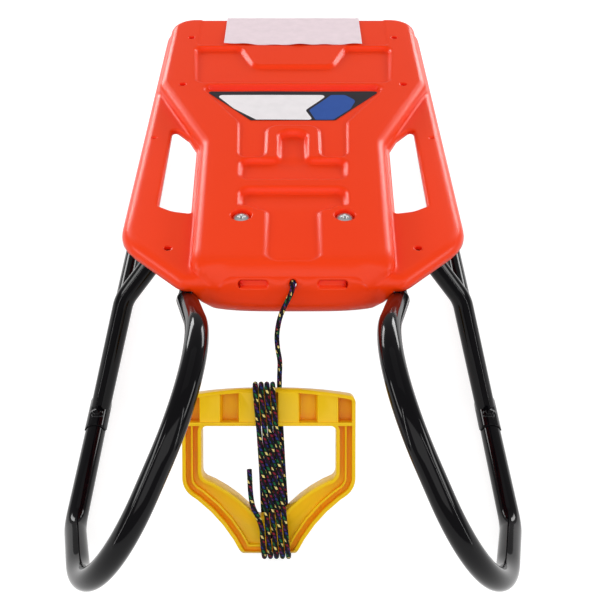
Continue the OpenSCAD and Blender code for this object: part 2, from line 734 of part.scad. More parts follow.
// points between two corners on a shallow bow to the left of the way
bow_steps = 5;
function bowed(a, b, lift) = [for (k = [1 : bow_steps - 1]) let (t = k / bow_steps)
    a + (b - a) * t + left(unit(b - a)) * lift * 4 * t * (1 - t)];
no_bends = [for (k = [1 : bow_steps - 1]) 0];
outer_bow = handle_len * 0.04;
outer = concat(arch, [[-hw, -arm_low]], bowed([-hw, -arm_low], [-tip_half, -handle_len], outer_bow),
    [[-tip_half, -handle_len], [tip_half, -handle_len]],
    bowed([tip_half, -handle_len], [hw, -arm_low], outer_bow), [[hw, -arm_low]]);
outer_bends = concat([6], [for (k = [1 : arch_steps - 1]) 0], [6, 20], no_bends, [6, 6], no_bends, [20]);
inner_low = handle_len * 0.53;
vee_half = 10;
vee_low = handle_len - 34;
arm_in = hw - arm_w;
inner_bow = handle_len * 0.027;
inner = concat([[arm_in, -grip_h], [-arm_in, -grip_h], [-arm_in, -inner_low]],
    bowed([-arm_in, -inner_low], [-vee_half, -vee_low], inner_bow),
    [[-vee_half, -vee_low], [vee_half, -vee_low]],
    bowed([vee_half, -vee_low], [arm_in, -inner_low], inner_bow), [[arm_in, -inner_low]]);
inner_bends = concat([5, 5, 8], no_bends, [3, 3], no_bends, [8]);
// rib along the middle of the arms
rib_in = arm_w / 2 - 0.8;
rib_half = handle_half - 2.5;
pad_pitch = 35;
pad_w = 20;
wave_hi = handle_half - 2;
wave = concat(
    [for (k = [-2 : 1]) let (x = (k + 0.5) * pad_pitch, h = pad_w / 2)
        each [[x - h - 1, -wave_hi], [x - h + 1, wave_hi], [x + h - 1, wave_hi], [x + h + 1, -wave_hi]]]);
wave_end = hw - handle_wall;
wave_line = concat([[-wave_end, -wave_hi]], wave, [[wave_end, -wave_hi]]);
wave_band = concat(wave_line, [for (i = [len(wave_line) - 1 : -1 : 0])
    wave_line[i] + [0, -handle_wall]]);
web_half = handle_wall / 2;
eye_y = handle_len - 15;
eye_r = 3.5;

module ring_wall(list, radii, d) {
    difference() {
        polygon(rounded(list, radii));
        polygon(rounded(inset(list, d), inset_r(list, radii, d)));
    }
}

module pull_handle() {
    grip_in = rounded(inset(outer, handle_wall / 2), inset_r(outer, outer_bends, handle_wall / 2));
    color("#ffc20f") at_handle() intersection() {
        union() {
            translate([0, 0, -handle_half]) linear_extrude(handle_t) {
                ring_wall(outer, outer_bends, handle_wall);
                difference() {
                    polygon(rounded(inset(inner, -handle_wall), inset_r(inner, inner_bends, -handle_wall)));
                    polygon(rounded(inner, inner_bends));
                }
            }
            translate([0, 0, -handle_half]) linear_extrude(handle_t) intersection() {
                translate([-hw, -grip_h]) square([2 * hw, handle_wall]);
                polygon(grip_in);
            }
            translate([0, 0, -rib_half]) linear_extrude(2 * rib_half) difference() {
                polygon(rounded(inset(outer, rib_in), inset_r(outer, outer_bends, rib_in)));
                polygon(rounded(inset(outer, rib_in + 1.6), inset_r(outer, outer_bends, rib_in + 1.6)));
                translate([-hw, -grip_h + 1]) square([2 * hw, grip_h + 1]);
            }
            translate([0, 0, -web_half]) linear_extrude(2 * web_half) difference() {
                polygon(grip_in);
                polygon(rounded(inset(inner, -1), inset_r(inner, inner_bends, -1)));
                translate([-hw, -grip_h + 1]) square([2 * hw, grip_h + 1]);
                translate([0, -eye_y]) circle(r = eye_r);
            }
            intersection() {
                translate([0, -grip_h + handle_wall / 2, 0]) rotate([90, 0, 0]) mirror([0, 0, 1])
                    linear_extrude(grip_h) polygon(wave_band);
                translate([0, 0, -handle_t]) linear_extrude(2 * handle_t) polygon(grip_in);
            }
        }
        translate([-handle_w, 0, 0]) rotate([90, 0, 90]) linear_extrude(2 * handle_w)
            polygon(rounded([[-handle_len, -handle_half], [0, -handle_half], [0, handle_half],
                [-handle_len, handle_half]], [end_round, end_round, end_round, end_round]));
    }
}

// plain printed film on the floor of the label recess
film_t = 0.3;
module label_sticker() {
    color("#3a3d42") placed() slab(mirrored([[47, along(272)], [101, along(340)]]),
        seat_top - label_deep, seat_top - label_deep + film_t);
}

// plain paper laid over the rear edge
paper_half = 87;
paper_t = 0.5;
paper_top = seat_top - ledge_deep + soft_gap;
paper_line = [[along(461), paper_top], [rear_st - 9, paper_top], [rear_st + 3, rim_low + 6],
    [rear_st + 1.5, rim_low - 34]];
paper_out = concat(paper_line, back_to_front([for (i = [0 : 3])
    paper_line[i] + (i < 2 ? [0, paper_t] : [paper_t, i == 2 ? paper_t : 0])]));
module paper_band() {
    color("#efece6") placed() translate([-paper_half, 0, 0]) rotate([90, 0, 90])
        linear_extrude(2 * paper_half) polygon(paper_out);
}

seat_shell();
left_runner();
right_runner();
left_runner_cap();
right_runner_cap();
front_bow();
rear_bow();
front_bow_rivets();
rear_bow_rivets();
seat_screws();
seat_washers();
seat_nuts();
rear_seat_screws();
wing_bolts();
wing_nuts();
rope_knot();
tow_rope();
pull_handle();
label_sticker();
paper_band();
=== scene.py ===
import math
import bpy
import bmesh
import numpy as np
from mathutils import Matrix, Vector
from mathutils.geometry import delaunay_2d_cdt
from mathutils.kdtree import KDTree


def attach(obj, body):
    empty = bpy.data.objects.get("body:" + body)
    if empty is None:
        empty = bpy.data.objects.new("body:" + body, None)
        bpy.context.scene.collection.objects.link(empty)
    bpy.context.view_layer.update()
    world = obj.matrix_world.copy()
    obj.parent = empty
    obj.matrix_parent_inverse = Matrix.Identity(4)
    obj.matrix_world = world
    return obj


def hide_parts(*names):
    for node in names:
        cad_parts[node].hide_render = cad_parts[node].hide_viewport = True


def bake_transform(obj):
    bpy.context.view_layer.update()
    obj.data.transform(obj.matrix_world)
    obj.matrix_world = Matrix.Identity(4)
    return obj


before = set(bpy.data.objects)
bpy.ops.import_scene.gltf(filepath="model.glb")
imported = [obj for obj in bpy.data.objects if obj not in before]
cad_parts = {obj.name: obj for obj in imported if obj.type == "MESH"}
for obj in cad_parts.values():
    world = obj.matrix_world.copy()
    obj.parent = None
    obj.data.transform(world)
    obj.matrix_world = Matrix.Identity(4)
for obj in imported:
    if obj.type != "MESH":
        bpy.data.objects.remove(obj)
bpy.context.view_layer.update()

scene = bpy.context.scene
scene.view_settings.view_transform = "Standard"

midStation = 280.753  # mm from the skids' front corner to the sled's middle


# x, station along the sled and height in mm, to metres in the shared frame
def place(x, station, z):
    return Vector((x, station - midStation, z)) / 1000


def srgb(text):
    parts = [int(text[i:i + 2], 16) / 255 for i in (1, 3, 5)]
    return tuple(p / 12.92 if p <= 0.04045 else ((p + 0.055) / 1.055) ** 2.4
                 for p in parts) + (1.0,)


def addNode(tree, kind, settings={}, inputs={}):
    node = tree.nodes.new(kind)
    for name, value in settings.items():
        setattr(node, name, value)
    for name, value in inputs.items():
        if isinstance(value, bpy.types.NodeSocket):
            tree.links.new(value, node.inputs[name])
        else:
            node.inputs[name].default_value = value
    return node


def newMaterial(name):
    material = bpy.data.materials.new(name)
    material.use_nodes = True
    material.node_tree.nodes.clear()
    return material, material.node_tree


def surface(tree, shader):
    addNode(tree, "ShaderNodeOutputMaterial", {}, {"Surface": shader.outputs[0]})


def setStops(ramp, stops):
    elements = ramp.color_ramp.elements
    while len(elements) < len(stops):
        elements.new(0.5)
    for element, (at, colour) in zip(elements, stops):
        element.position = at
        element.color = srgb(colour)


def linked(name, data):
    obj = bpy.data.objects.new(name, data)
    scene.collection.objects.link(obj)
    return obj


# the camera comes first: the photograph's view, solved from the tubes' size, in mm and pixels
cameraView = {"station": -528.0, "height": 726.0, "pitch": 40.0, "focal": 935.0,
              "midline": 293.0, "frame": 600, "sensor": 36.0}
cameraData = bpy.data.cameras.new("photoCamera")
camera = linked("photoCamera", cameraData)
camera.location = place(0, cameraView["station"], cameraView["height"])
camera.rotation_euler = (math.radians(90 - cameraView["pitch"]), 0, 0)
cameraData.sensor_width = cameraView["sensor"]
cameraData.lens = cameraView["focal"] / cameraView["frame"] * cameraView["sensor"]
cameraData.shift_x = (cameraView["frame"] / 2 - cameraView["midline"]) / cameraView["frame"]
cameraData.clip_start = 0.01
scene.camera = camera
print("camera set")


# plain geometry helpers
def unit(v):
    return v / np.linalg.norm(v)


# a line with its corners rounded, one arc point every few degrees
def filletPath(corners, bends, step):
    pts = [np.array(c, float) for c in corners]
    out = [pts[0]]
    for i in range(1, len(pts) - 1):
        a, p, b, r = pts[i - 1], pts[i], pts[i + 1], bends[i]
        u, v = unit(p - a), unit(b - p)
        w = math.acos(max(-1, min(1, float(u @ v))))
        if w < 1e-4 or r <= 0:
            out.append(p)
            continue
        n = unit(v - (u @ v) * u)
        start = p - u * r * math.tan(w / 2)
        centre = start + n * r
        count = max(3, int(math.degrees(w) / step) + 1)
        for k in range(count + 1):
            g = w * k / count
            out.append(centre - n * r * math.cos(g) + u * r * math.sin(g))
    out.append(pts[-1])
    return np.array(out)


def spread(points, spacing):
    out = [points[0]]
    for a, b in zip(points[:-1], points[1:]):
        n = max(1, int(round(np.linalg.norm(b - a) / spacing)))
        out += [a + (b - a) * k / n for k in range(1, n + 1)]
    return np.array(out)


def closedOutline(corners, radii, spacing):
    corners = [np.array(c, float) for c in corners]
    count = len(corners)
    out = []
    for i in range(count):
        a, p, b, r = corners[i - 1], corners[i], corners[(i + 1) % count], radii[i]
        u, v = unit(p - a), unit(b - p)
        w = math.acos(max(-1, min(1, float(u @ v))))
        if r <= 0 or w < 0.01:
            out.append(p)
            continue
        n = unit(v - (u @ v) * u)
        centre = p - u * r * math.tan(w / 2) + n * r
        steps = max(3, int(r * w / min(spacing, 3.0)) + 1)
        out += [centre - n * r * math.cos(w * k / steps) + u * r * math.sin(w * k / steps)
                for k in range(steps + 1)]
    out.append(out[0])
    return spread(np.array(out), spacing)[:-1]


# a half outline and its bends, carried over to the other side
def mirrored(half):
    return half + [(-x, y) for x, y in reversed(half)]


def doubled(bends):
    return bends + bends[::-1]


# quads between rows of points
def gridFaces(rows, columns):
    starts = [i * (columns + 1) + k for i in range(rows) for k in range(columns)]
    return [(a, a + 1, a + columns + 2, a + columns + 1) for a in starts]


def newObject(name, verts, faces, material, smooth=True):
    mesh = bpy.data.meshes.new(name)
    mesh.from_pydata([tuple(v) for v in verts], [], [tuple(int(i) for i in f) for f in faces])
    mesh.validate()
    mesh.polygons.foreach_set("use_smooth", [smooth] * len(mesh.polygons))
    mesh.materials.append(material)
    return linked(name, mesh)


def facingOut(mesh):
    bm = bmesh.new()
    bm.from_mesh(mesh)
    bmesh.ops.recalc_face_normals(bm, faces=bm.faces)
    bm.to_mesh(mesh)
    bm.free()


# modifiers turned into plain mesh
def frozen(obj):
    deps = bpy.context.evaluated_depsgraph_get()
    mesh = bpy.data.meshes.new_from_object(obj.evaluated_get(deps))
    mesh.name = obj.name
    obj.modifiers.clear()
    obj.data = mesh
    return obj


def joined(name, objs):
    bm = bmesh.new()
    materials = []
    for o in objs:
        start = len(bm.faces)
        bm.from_mesh(o.data)
        bm.faces.ensure_lookup_table()
        remap = []
        for m in o.data.materials:
            if m not in materials:
                materials.append(m)
            remap.append(materials.index(m))
        for f in bm.faces[start:]:
            f.material_index = remap[f.material_index]
    mesh = bpy.data.meshes.new(name)
    bm.to_mesh(mesh)
    bm.free()
    for m in materials:
        mesh.materials.append(m)
    for o in objs:
        bpy.data.objects.remove(o)
    return linked(name, mesh)


# Polypropylene or polyethylene, injection moulded: semi-gloss, faint flow clouding
# some 110 mm across and a fine grain from the tool; where a shade colour is given, painted shade
# darkens the hollows
def mouldedPlastic(name, base, cloud, roughness, paintedShade=None, hollow=(0.45, 0.95)):
    material, tree = newMaterial(name)
    where = addNode(tree, "ShaderNodeTexCoord").outputs["Object"]
    clouds = addNode(tree, "ShaderNodeTexNoise", {}, {"Vector": where, "Scale": 9.0, "Detail": 3.0})
    ramp = addNode(tree, "ShaderNodeValToRGB", {}, {"Fac": clouds.outputs[0]})
    setStops(ramp, [(0.3, cloud), (0.7, base)])
    # grain of 0.9 mm, drawn coarser than the tool's so that it shows
    skin = addNode(tree, "ShaderNodeTexNoise", {}, {
        "Vector": where, "Scale": 1000 / 0.9, "Detail": 2.0})
    rough = addNode(tree, "ShaderNodeMapRange", {}, {
        "Value": skin.outputs[0], "To Min": roughness - 0.06, "To Max": roughness + 0.06})
    bump = addNode(tree, "ShaderNodeBump", {}, {
        "Height": skin.outputs[0], "Strength": 0.06, "Distance": 0.0003})
    colour = ramp.outputs[0]
    if paintedShade:  # painted shade: in hollows of some 14 mm the colour is darkened towards the shade colour by ambient occlusion
        shadeMask = addNode(tree, "ShaderNodeAmbientOcclusion", {"samples": 8, "only_local": True},
                          {"Distance": 0.014})
        share = addNode(tree, "ShaderNodeMapRange", {}, {
            "Value": shadeMask.outputs["AO"], "From Min": hollow[0], "From Max": hollow[1]})
        blend = addNode(tree, "ShaderNodeMix", {"data_type": "RGBA"}, {
            0: share.outputs[0], 6: srgb(paintedShade), 7: colour})
        colour = blend.outputs[2]
    shader = addNode(tree, "ShaderNodeBsdfPrincipled", {}, {
        "Base Color": colour, "Roughness": rough.outputs[0], "IOR": 1.49,
        "Specular IOR Level": 0.24, "Normal": bump.outputs[0]})
    surface(tree, shader)
    return material


# Stoved black enamel on steel tube: deep gloss with a faint orange peel of 4 mm,
# a little duller in patches some 70 mm wide
def blackEnamel():
    material, tree = newMaterial("stovedBlackEnamel")
    where = addNode(tree, "ShaderNodeTexCoord").outputs["Object"]
    peel = addNode(tree, "ShaderNodeTexNoise", {}, {
        "Vector": where, "Scale": 1000 / 4.0, "Detail": 1.0})
    dust = addNode(tree, "ShaderNodeTexNoise", {}, {"Vector": where, "Scale": 14.0, "Detail": 4.0})
    rough = addNode(tree, "ShaderNodeMapRange", {}, {
        "Value": dust.outputs[0], "To Min": 0.05, "To Max": 0.11})
    bump = addNode(tree, "ShaderNodeBump", {}, {
        "Height": peel.outputs[0], "Strength": 0.02, "Distance": 0.0002})
    shader = addNode(tree, "ShaderNodeBsdfPrincipled", {}, {
        "Base Color": srgb("#08070a"), "Roughness": rough.outputs[0], "IOR": 1.5,
        "Specular IOR Level": 0.18, "Normal": bump.outputs[0]})
    surface(tree, shader)
    return material


# Bright zinc plate on steel: pale metal with a slightly streaked passivation
def zincPlate():
    material, tree = newMaterial("brightZincPlate")
    where = addNode(tree, "ShaderNodeTexCoord").outputs["Object"]
    blot = addNode(tree, "ShaderNodeTexNoise", {}, {
        "Vector": where, "Scale": 1000 / 3.0, "Detail": 3.0})
    ramp = addNode(tree, "ShaderNodeValToRGB", {}, {"Fac": blot.outputs[0]})
    setStops(ramp, [(0.0, "#b9bcc4"), (1.0, "#f2f2f0")])
    rough = addNode(tree, "ShaderNodeMapRange", {}, {
        "Value": blot.outputs[0], "To Min": 0.22, "To Max": 0.38})
    shader = addNode(tree, "ShaderNodeBsdfPrincipled", {}, {
        "Base Color": ramp.outputs[0], "Metallic": 1.0, "Roughness": rough.outputs[0]})
    surface(tree, shader)
    return material


# Polyester braid, black with coloured tracer yarns: the flecks climb round the rope
def fleckedBraid():
    material, tree = newMaterial("fleckedPolyesterBraid")
    black = "#0c0c0f"
    uv = addNode(tree, "ShaderNodeUVMap", {"uv_map": "run"})
    parts = addNode(tree, "ShaderNodeSeparateXYZ", {}, {"Vector": uv.outputs[0]})
    along, around = parts.outputs[0], parts.outputs[1]  # metres along the rope, turns round it
    # one sequence of colours takes 17 mm
    climb = addNode(tree, "ShaderNodeMath", {"operation": "MULTIPLY"}, {0: along, 1: 1000 / 17.0})
    twist = addNode(tree, "ShaderNodeMath", {"operation": "MULTIPLY_ADD"}, {
        0: around, 1: 0.3, 2: climb.outputs[0]})
    phase = addNode(tree, "ShaderNodeMath", {"operation": "FRACT"}, {0: twist.outputs[0]})
    ramp = addNode(tree, "ShaderNodeValToRGB", {}, {"Fac": phase.outputs[0]})
    ramp.color_ramp.interpolation = "CONSTANT"
    setStops(ramp, [
        (0.0, black), (0.04, "#f2dd86"), (0.18, black), (0.25, "#14663a"), (0.40, black),
        (0.46, "#22347c"), (0.58, black), (0.64, "#561f60"), (0.76, black),
        (0.82, "#8c1a2e"), (0.93, black)])
    # a tracer yarn shows as a dash where it lies on top, every 12 mm
    strand = addNode(tree, "ShaderNodeMath", {"operation": "MULTIPLY"}, {0: along, 1: 1000 / 12.0})
    lay = addNode(tree, "ShaderNodeMath", {"operation": "MULTIPLY_ADD"}, {
        0: around, 1: 3.0, 2: strand.outputs[0]})
    dash = addNode(tree, "ShaderNodeMath", {"operation": "FRACT"}, {0: lay.outputs[0]})
    gate = addNode(tree, "ShaderNodeMath", {"operation": "LESS_THAN"}, {
        0: dash.outputs[0], 1: 0.44})
    # braid of 2.2 mm plaits crossing both ways
    plaits = []
    for way in (1.0, -1.0):
        run = addNode(tree, "ShaderNodeMath", {"operation": "MULTIPLY"}, {0: along, 1: 1000 / 4.4})
        turn = addNode(tree, "ShaderNodeMath", {"operation": "MULTIPLY_ADD"}, {
            0: around, 1: 3.0 * way, 2: run.outputs[0]})
        wave = addNode(tree, "ShaderNodeMath", {"operation": "MULTIPLY"}, {
            0: turn.outputs[0], 1: 2 * math.pi})
        plaits.append(addNode(tree, "ShaderNodeMath", {"operation": "SINE"}, {0: wave.outputs[0]}))
    height = addNode(tree, "ShaderNodeMath", {"operation": "MAXIMUM"}, {
        0: plaits[0].outputs[0], 1: plaits[1].outputs[0]})
    colour = addNode(tree, "ShaderNodeMix", {"data_type": "RGBA"}, {
        0: gate.outputs[0], 6: srgb(black), 7: ramp.outputs[0]})
    bump = addNode(tree, "ShaderNodeBump", {}, {
        "Height": height.outputs[0], "Strength": 0.6, "Distance": 0.0005})
    shader = addNode(tree, "ShaderNodeBsdfPrincipled", {}, {
        "Base Color": colour.outputs[2], "Roughness": 0.72, "Specular IOR Level": 0.2,
        "Normal": bump.outputs[0]})
    surface(tree, shader)
    return material


# Polyester film, or paper where it is duller: smooth, with a slight ripple of 12 mm
def thinSheet(name, base, roughness):
    material, tree = newMaterial(name)
    where = addNode(tree, "ShaderNodeTexCoord").outputs["Object"]
    ripple = addNode(tree, "ShaderNodeTexNoise", {}, {
        "Vector": where, "Scale": 1000 / 12.0, "Detail": 2.0})
    # painted shade: the colour is lighter and darker with the ripple's height
    rippleShade = addNode(tree, "ShaderNodeMapRange", {}, {
        "Value": ripple.outputs[0], "To Min": 0.92, "To Max": 1.06})
    tone = addNode(tree, "ShaderNodeHueSaturation", {}, {
        "Color": srgb(base), "Value": rippleShade.outputs[0]})
    bump = addNode(tree, "ShaderNodeBump", {}, {
        "Height": ripple.outputs[0], "Strength": 0.08, "Distance": 0.0006})
    shader = addNode(tree, "ShaderNodeBsdfPrincipled", {}, {
        "Base Color": tone.outputs[0], "Roughness": roughness, "Specular IOR Level": 0.2,
        "Normal": bump.outputs[0]})
    surface(tree, shader)
    return material


# The rope's yarns knotted tight: spots of colour of 2.6 mm in no order
def knottedYarn():
    material, tree = newMaterial("knottedPolyesterYarn")
    where = addNode(tree, "ShaderNodeTexCoord").outputs["Object"]
    cells = addNode(tree, "ShaderNodeTexVoronoi", {}, {"Vector": where, "Scale": 1000 / 2.6})
    parts = addNode(tree, "ShaderNodeSeparateColor", {}, {"Color": cells.outputs["Color"]})
    ramp = addNode(tree, "ShaderNodeValToRGB", {}, {"Fac": parts.outputs[0]})
    ramp.color_ramp.interpolation = "CONSTANT"
    setStops(ramp, [(0.0, "#121216"), (0.62, "#f4e7a4"), (0.72, "#2f9a4c"),
                    (0.82, "#7d2f94"), (0.91, "#c62a38")])
    bump = addNode(tree, "ShaderNodeBump", {}, {
        "Height": cells.outputs["Distance"], "Strength": 0.5, "Distance": 0.0005})
    shader = addNode(tree, "ShaderNodeBsdfPrincipled", {}, {
        "Base Color": ramp.outputs[0], "Roughness": 0.75, "Normal": bump.outputs[0]})
    surface(tree, shader)
    return material


# the third colour given to the orange and the yellow moulding is their painted shade for hollows
orangePlastic = mouldedPlastic("orangePolypropylene", "#ff3f05", "#fd3c04", 0.33, "#f41c02")
yellowPlastic = mouldedPlastic("yellowPolypropylene", "#ffd010", "#fecb0e", 0.34, "#ff9204",
                               (0.12, 0.5))
capPlastic = mouldedPlastic("blackPolyethylene", "#1e1e20", "#18181a", 0.5)
enamel = blackEnamel()
zinc = zincPlate()
braid = fleckedBraid()
knotYarn = knottedYarn()
darkFilm = thinSheet("charcoalFilm", "#2b272d", 0.35)
paleFilm = thinSheet("paleFilm", "#fbf6f8", 0.4)
blueFilm = thinSheet("blueFilm", "#2f57a8", 0.35)
paper = thinSheet("plainPaper", "#f7e4ea", 0.8)
print("materials made")


# rope: the route of the part's source, in the handle's own plane first
pullHandle = {"length": 150.0, "thick": 20.0, "endRound": 9.5, "slope": 53.0, "x": -21.5,
              "noseStation": 122.0, "hingeOut": 6.0, "hingeZ": 198.0}
ropeRun = {
    "diameter": 4.5, "gap": 0.75, "turns": 4, "pitchTop": 5.2, "pitchMid": 5.0, "pitchTip": 5.4,
    "midTop": -2.0, "midTip": 9.0, "floorGap": 0.5, "sides": 12, "ring": 2.0, "hingeBend": 10.0,
    "sag": 7.5, "sagAt": (0.35, 0.6, 0.8), "straights": 12, "straightShare": 0.4, "bendShare": 0.05,
    "lead": [(0.5, 22, 1.5), (0.2, 8, 0)],
    "tail": [(0, 0, 0), (-0.5, 7, 1), (-1, 16, 1.5), (-4, 26, 2), (-9, 37, 2.5), (-11, 50, 2.5),
             (-11.5, 60, 2.5), (-12, 70, 2.5)],
    "blendFrom": 118.0, "blendTo": 14}
ropeR = ropeRun["diameter"] / 2
wrapOff = ropeR + ropeRun["gap"]
wrapN = pullHandle["thick"] / 2 + wrapOff
foldR = pullHandle["endRound"] + wrapOff
foldY = pullHandle["length"] + wrapOff - foldR
foldN = wrapN - foldR
slope = math.radians(pullHandle["slope"])
gripZ = (ropeRun["floorGap"] + ropeR + foldR + foldN * math.cos(slope)
         + foldY * math.sin(slope))
leadLen = (pullHandle["hingeZ"] - gripZ) / math.sin(slope)
gripStation = pullHandle["noseStation"] - pullHandle["hingeOut"] - leadLen * math.cos(slope)


def handlePoint(p):
    x, y, n = p
    return place(pullHandle["x"] + x, gripStation + y * math.cos(slope) - n * math.sin(slope),
                 gripZ + y * math.sin(slope) + n * math.cos(slope))


# how far across the handle a turn lies, by turns wound and by place along the handle
def windX(count, y):
    t = -y / pullHandle["length"]
    a, b, c = ropeRun["pitchTop"], ropeRun["pitchMid"], ropeRun["pitchTip"]
    pitch = a + (b - a) * 2 * t if t < 0.5 else b + (c - b) * (2 * t - 1)
    middle = ropeRun["midTop"] + (ropeRun["midTip"] - ropeRun["midTop"]) * t
    return middle + pitch * (ropeRun["turns"] / 2 - count)


def ropeRoute():
    top = foldR - wrapOff
    steps, level, bend = ropeRun["straights"], ropeRun["straightShare"], ropeRun["bendShare"]
    angles = [math.radians(10 * k) for k in range(1, 10)]
    # half a turn goes down the back and round the tip, and the other half is the same turned over
    half = [(-top - k / steps * (foldY - top), -wrapN, level * k / steps) for k in range(steps + 1)]
    half += [(-foldY - foldR * math.sin(g), -foldN - foldR * math.cos(g),
              level + bend * g / math.pi * 2) for g in angles]
    half += [(-foldY - foldR * math.cos(g), foldN + foldR * math.sin(g),
              level + bend + bend * g / math.pi * 2) for g in [0] + angles[:-1]]
    turn = half + [(-foldY - top - y, -n, t + 0.5) for y, n, t in half]
    turns = ropeRun["turns"]
    wound = [np.array((windX(k + t, y), y, n)) for k in range(turns + 1) for y, n, t in turn
             if k < turns or t < 0.5]
    end = np.array((windX(turns + 0.5, -foldY), -foldY, wrapN))
    tail = [end + np.array(p) for p in ropeRun["tail"]]
    lead = [np.array((wound[0][0] + x, y, -wrapN + n)) for x, y, n in ropeRun["lead"]]
    onHandle = [np.array(handlePoint(p)) for p in lead + wound + tail]
    noseAt, z = pullHandle["noseStation"], pullHandle["hingeZ"]
    hinge, grip = place(0, noseAt - pullHandle["hingeOut"], z), Vector(onHandle[0])
    slack = [hinge.lerp(grip, t) + Vector((-ropeRun["sag"] / 1000 * math.sin(math.pi * t), 0, 0))
             for t in ropeRun["sagAt"]]
    start = filletPath([place(0, noseAt + 5, z), hinge, slack[0]],
                       [0, ropeRun["hingeBend"] / 1000, 0], 6)
    return np.array([np.array(p) for p in list(start) + slack[1:]] + onHandle)


# one smooth curve through the points
def smoothRun(points, spacing):
    keep = [points[0]]
    for p in points[1:]:
        if np.linalg.norm(p - keep[-1]) > 1e-5:
            keep.append(p)
    p = np.array(keep)
    out = []
    for i in range(len(p) - 1):
        a, b, c, d = p[max(i - 1, 0)], p[i], p[i + 1], p[min(i + 2, len(p) - 1)]
        n = max(1, int(np.linalg.norm(c - b) / spacing + 0.5))
        for k in range(n):
            t = k / n
            out.append(0.5 * (2 * b + (c - a) * t + (2 * a - 5 * b + 4 * c - d) * t * t
                              + (3 * b - a - 3 * c + d) * t ** 3))
    out.append(p[-1])
    return np.array(out)


# round tube with its run in metres and its turn as a UV map, for the flecks
def ropeTube(name, points, radius, sides, material):
    verts, faces, uvs = [], [], []
    run = np.concatenate([[0], np.cumsum(np.linalg.norm(np.diff(points, axis=0), axis=1))])
    across = np.array((1.0, 0, 0))
    for i, p in enumerate(points):
        t = unit(points[min(i + 1, len(points) - 1)] - points[max(i - 1, 0)])
        u = unit(np.cross(t, across))
        v = np.cross(t, u)
        for k in range(sides):
            g = 2 * math.pi * k / sides
            verts.append(p + radius * (u * math.cos(g) + v * math.sin(g)))
    for i in range(len(points) - 1):
        for k in range(sides):
            m = (k + 1) % sides
            faces.append((i * sides + k, i * sides + m, (i + 1) * sides + m, (i + 1) * sides + k))
            uvs += [(run[i], k / sides), (run[i], (k + 1) / sides),
                    (run[i + 1], (k + 1) / sides), (run[i + 1], k / sides)]
    last = (len(points) - 1) * sides
    faces.append(tuple(range(sides))[::-1])
    faces.append(tuple(last + k for k in range(sides)))
    uvs += [(0, 0)] * sides + [(run[-1], 0)] * sides
    mesh = bpy.data.meshes.new(name)
    mesh.from_pydata([tuple(v) for v in verts], [], faces)
    layer = mesh.uv_layers.new(name="run")
    for loop, uv in zip(layer.data, uvs):
        loop.uv = uv
    mesh.polygons.foreach_set("use_smooth", [True] * len(mesh.polygons))
    mesh.materials.append(material)
    facingOut(mesh)
    return linked(name, mesh), float(run[-1])


ropeLine = smoothRun(ropeRoute(), ropeRun["ring"] / 1000)
towRope, ropeLength = ropeTube("towRope", ropeLine, ropeR / 1000, ropeRun["sides"], braid)
print("rope laid,", round(ropeLength, 3), "m")


# a tree starts with its named inputs and ends in plain mesh with its finish
def startTree(name, inputs):
    tree = bpy.data.node_groups.new(name, "GeometryNodeTree")
    sockets = {}
    for label, kind in inputs:
        made = tree.interface.new_socket(label, in_out="INPUT", socket_type="NodeSocket" + kind)
        sockets[label] = made.identifier
    tree.interface.new_socket("Geometry", in_out="OUTPUT", socket_type="NodeSocketGeometry")
    return tree, sockets, addNode(tree, "NodeGroupInput").outputs


def endTree(tree, geometry, finish):
    real = addNode(tree, "GeometryNodeRealizeInstances", {}, {"Geometry": geometry})
    done = addNode(tree, "GeometryNodeSetMaterial", {}, {
        "Geometry": real.outputs["Geometry"], "Material": finish})
    addNode(tree, "NodeGroupOutput", {}, {"Geometry": done.outputs["Geometry"]})


# tubes: one tree sweeps a circle along a centre line
def tubeTree():
    tree, sockets, given = startTree("tubeAlongLine", [
        ("Geometry", "Geometry"), ("Radius", "Float"), ("Sides", "Int"), ("Finish", "Material")])
    line = addNode(tree, "GeometryNodeMeshToCurve", {}, {"Mesh": given["Geometry"]})
    ring = addNode(tree, "GeometryNodeCurvePrimitiveCircle", {}, {
        "Radius": given["Radius"], "Resolution": given["Sides"]})
    tube = addNode(tree, "GeometryNodeCurveToMesh", {}, {
        "Curve": line.outputs["Curve"], "Profile Curve": ring.outputs["Curve"], "Fill Caps": True})
    smooth = addNode(tree, "GeometryNodeSetShadeSmooth", {}, {"Geometry": tube.outputs["Mesh"]})
    endTree(tree, smooth.outputs["Geometry"], given["Finish"])
    return tree, sockets


# repeated fasteners: one tree sets a part on every point
def fastenerTree():
    tree, sockets, given = startTree("partOnPoints", [
        ("Geometry", "Geometry"), ("Part", "Object"), ("Finish", "Material")])
    part = addNode(tree, "GeometryNodeObjectInfo", {}, {"Object": given["Part"]})
    spots = addNode(tree, "GeometryNodeInstanceOnPoints", {}, {
        "Points": given["Geometry"], "Instance": part.outputs["Geometry"]})
    endTree(tree, spots.outputs["Instances"], given["Finish"])
    return tree, sockets


tubes, tubeSockets = tubeTree()
fasteners, fastenerSockets = fastenerTree()


def grown(name, points, edges, tree, sockets, values):
    mesh = bpy.data.meshes.new(name)
    mesh.from_pydata([tuple(p) for p in points], edges, [])
    obj = linked(name, mesh)
    modifier = obj.modifiers.new("grow", "NODES")
    modifier.node_group = tree
    for label, value in values.items():
        modifier[sockets[label]] = value
    return frozen(obj)


def tubeAlong(name, points, radius, sides, material):
    edges = [(i, i + 1) for i in range(len(points) - 1)]
    return grown(name, points, edges, tubes, tubeSockets,
                 {"Radius": radius, "Sides": sides, "Finish": material})


def onPoints(name, points, part, material):
    obj = grown(name, points, [], fasteners, fastenerSockets, {"Part": part, "Finish": material})
    bpy.data.objects.remove(part)
    return obj


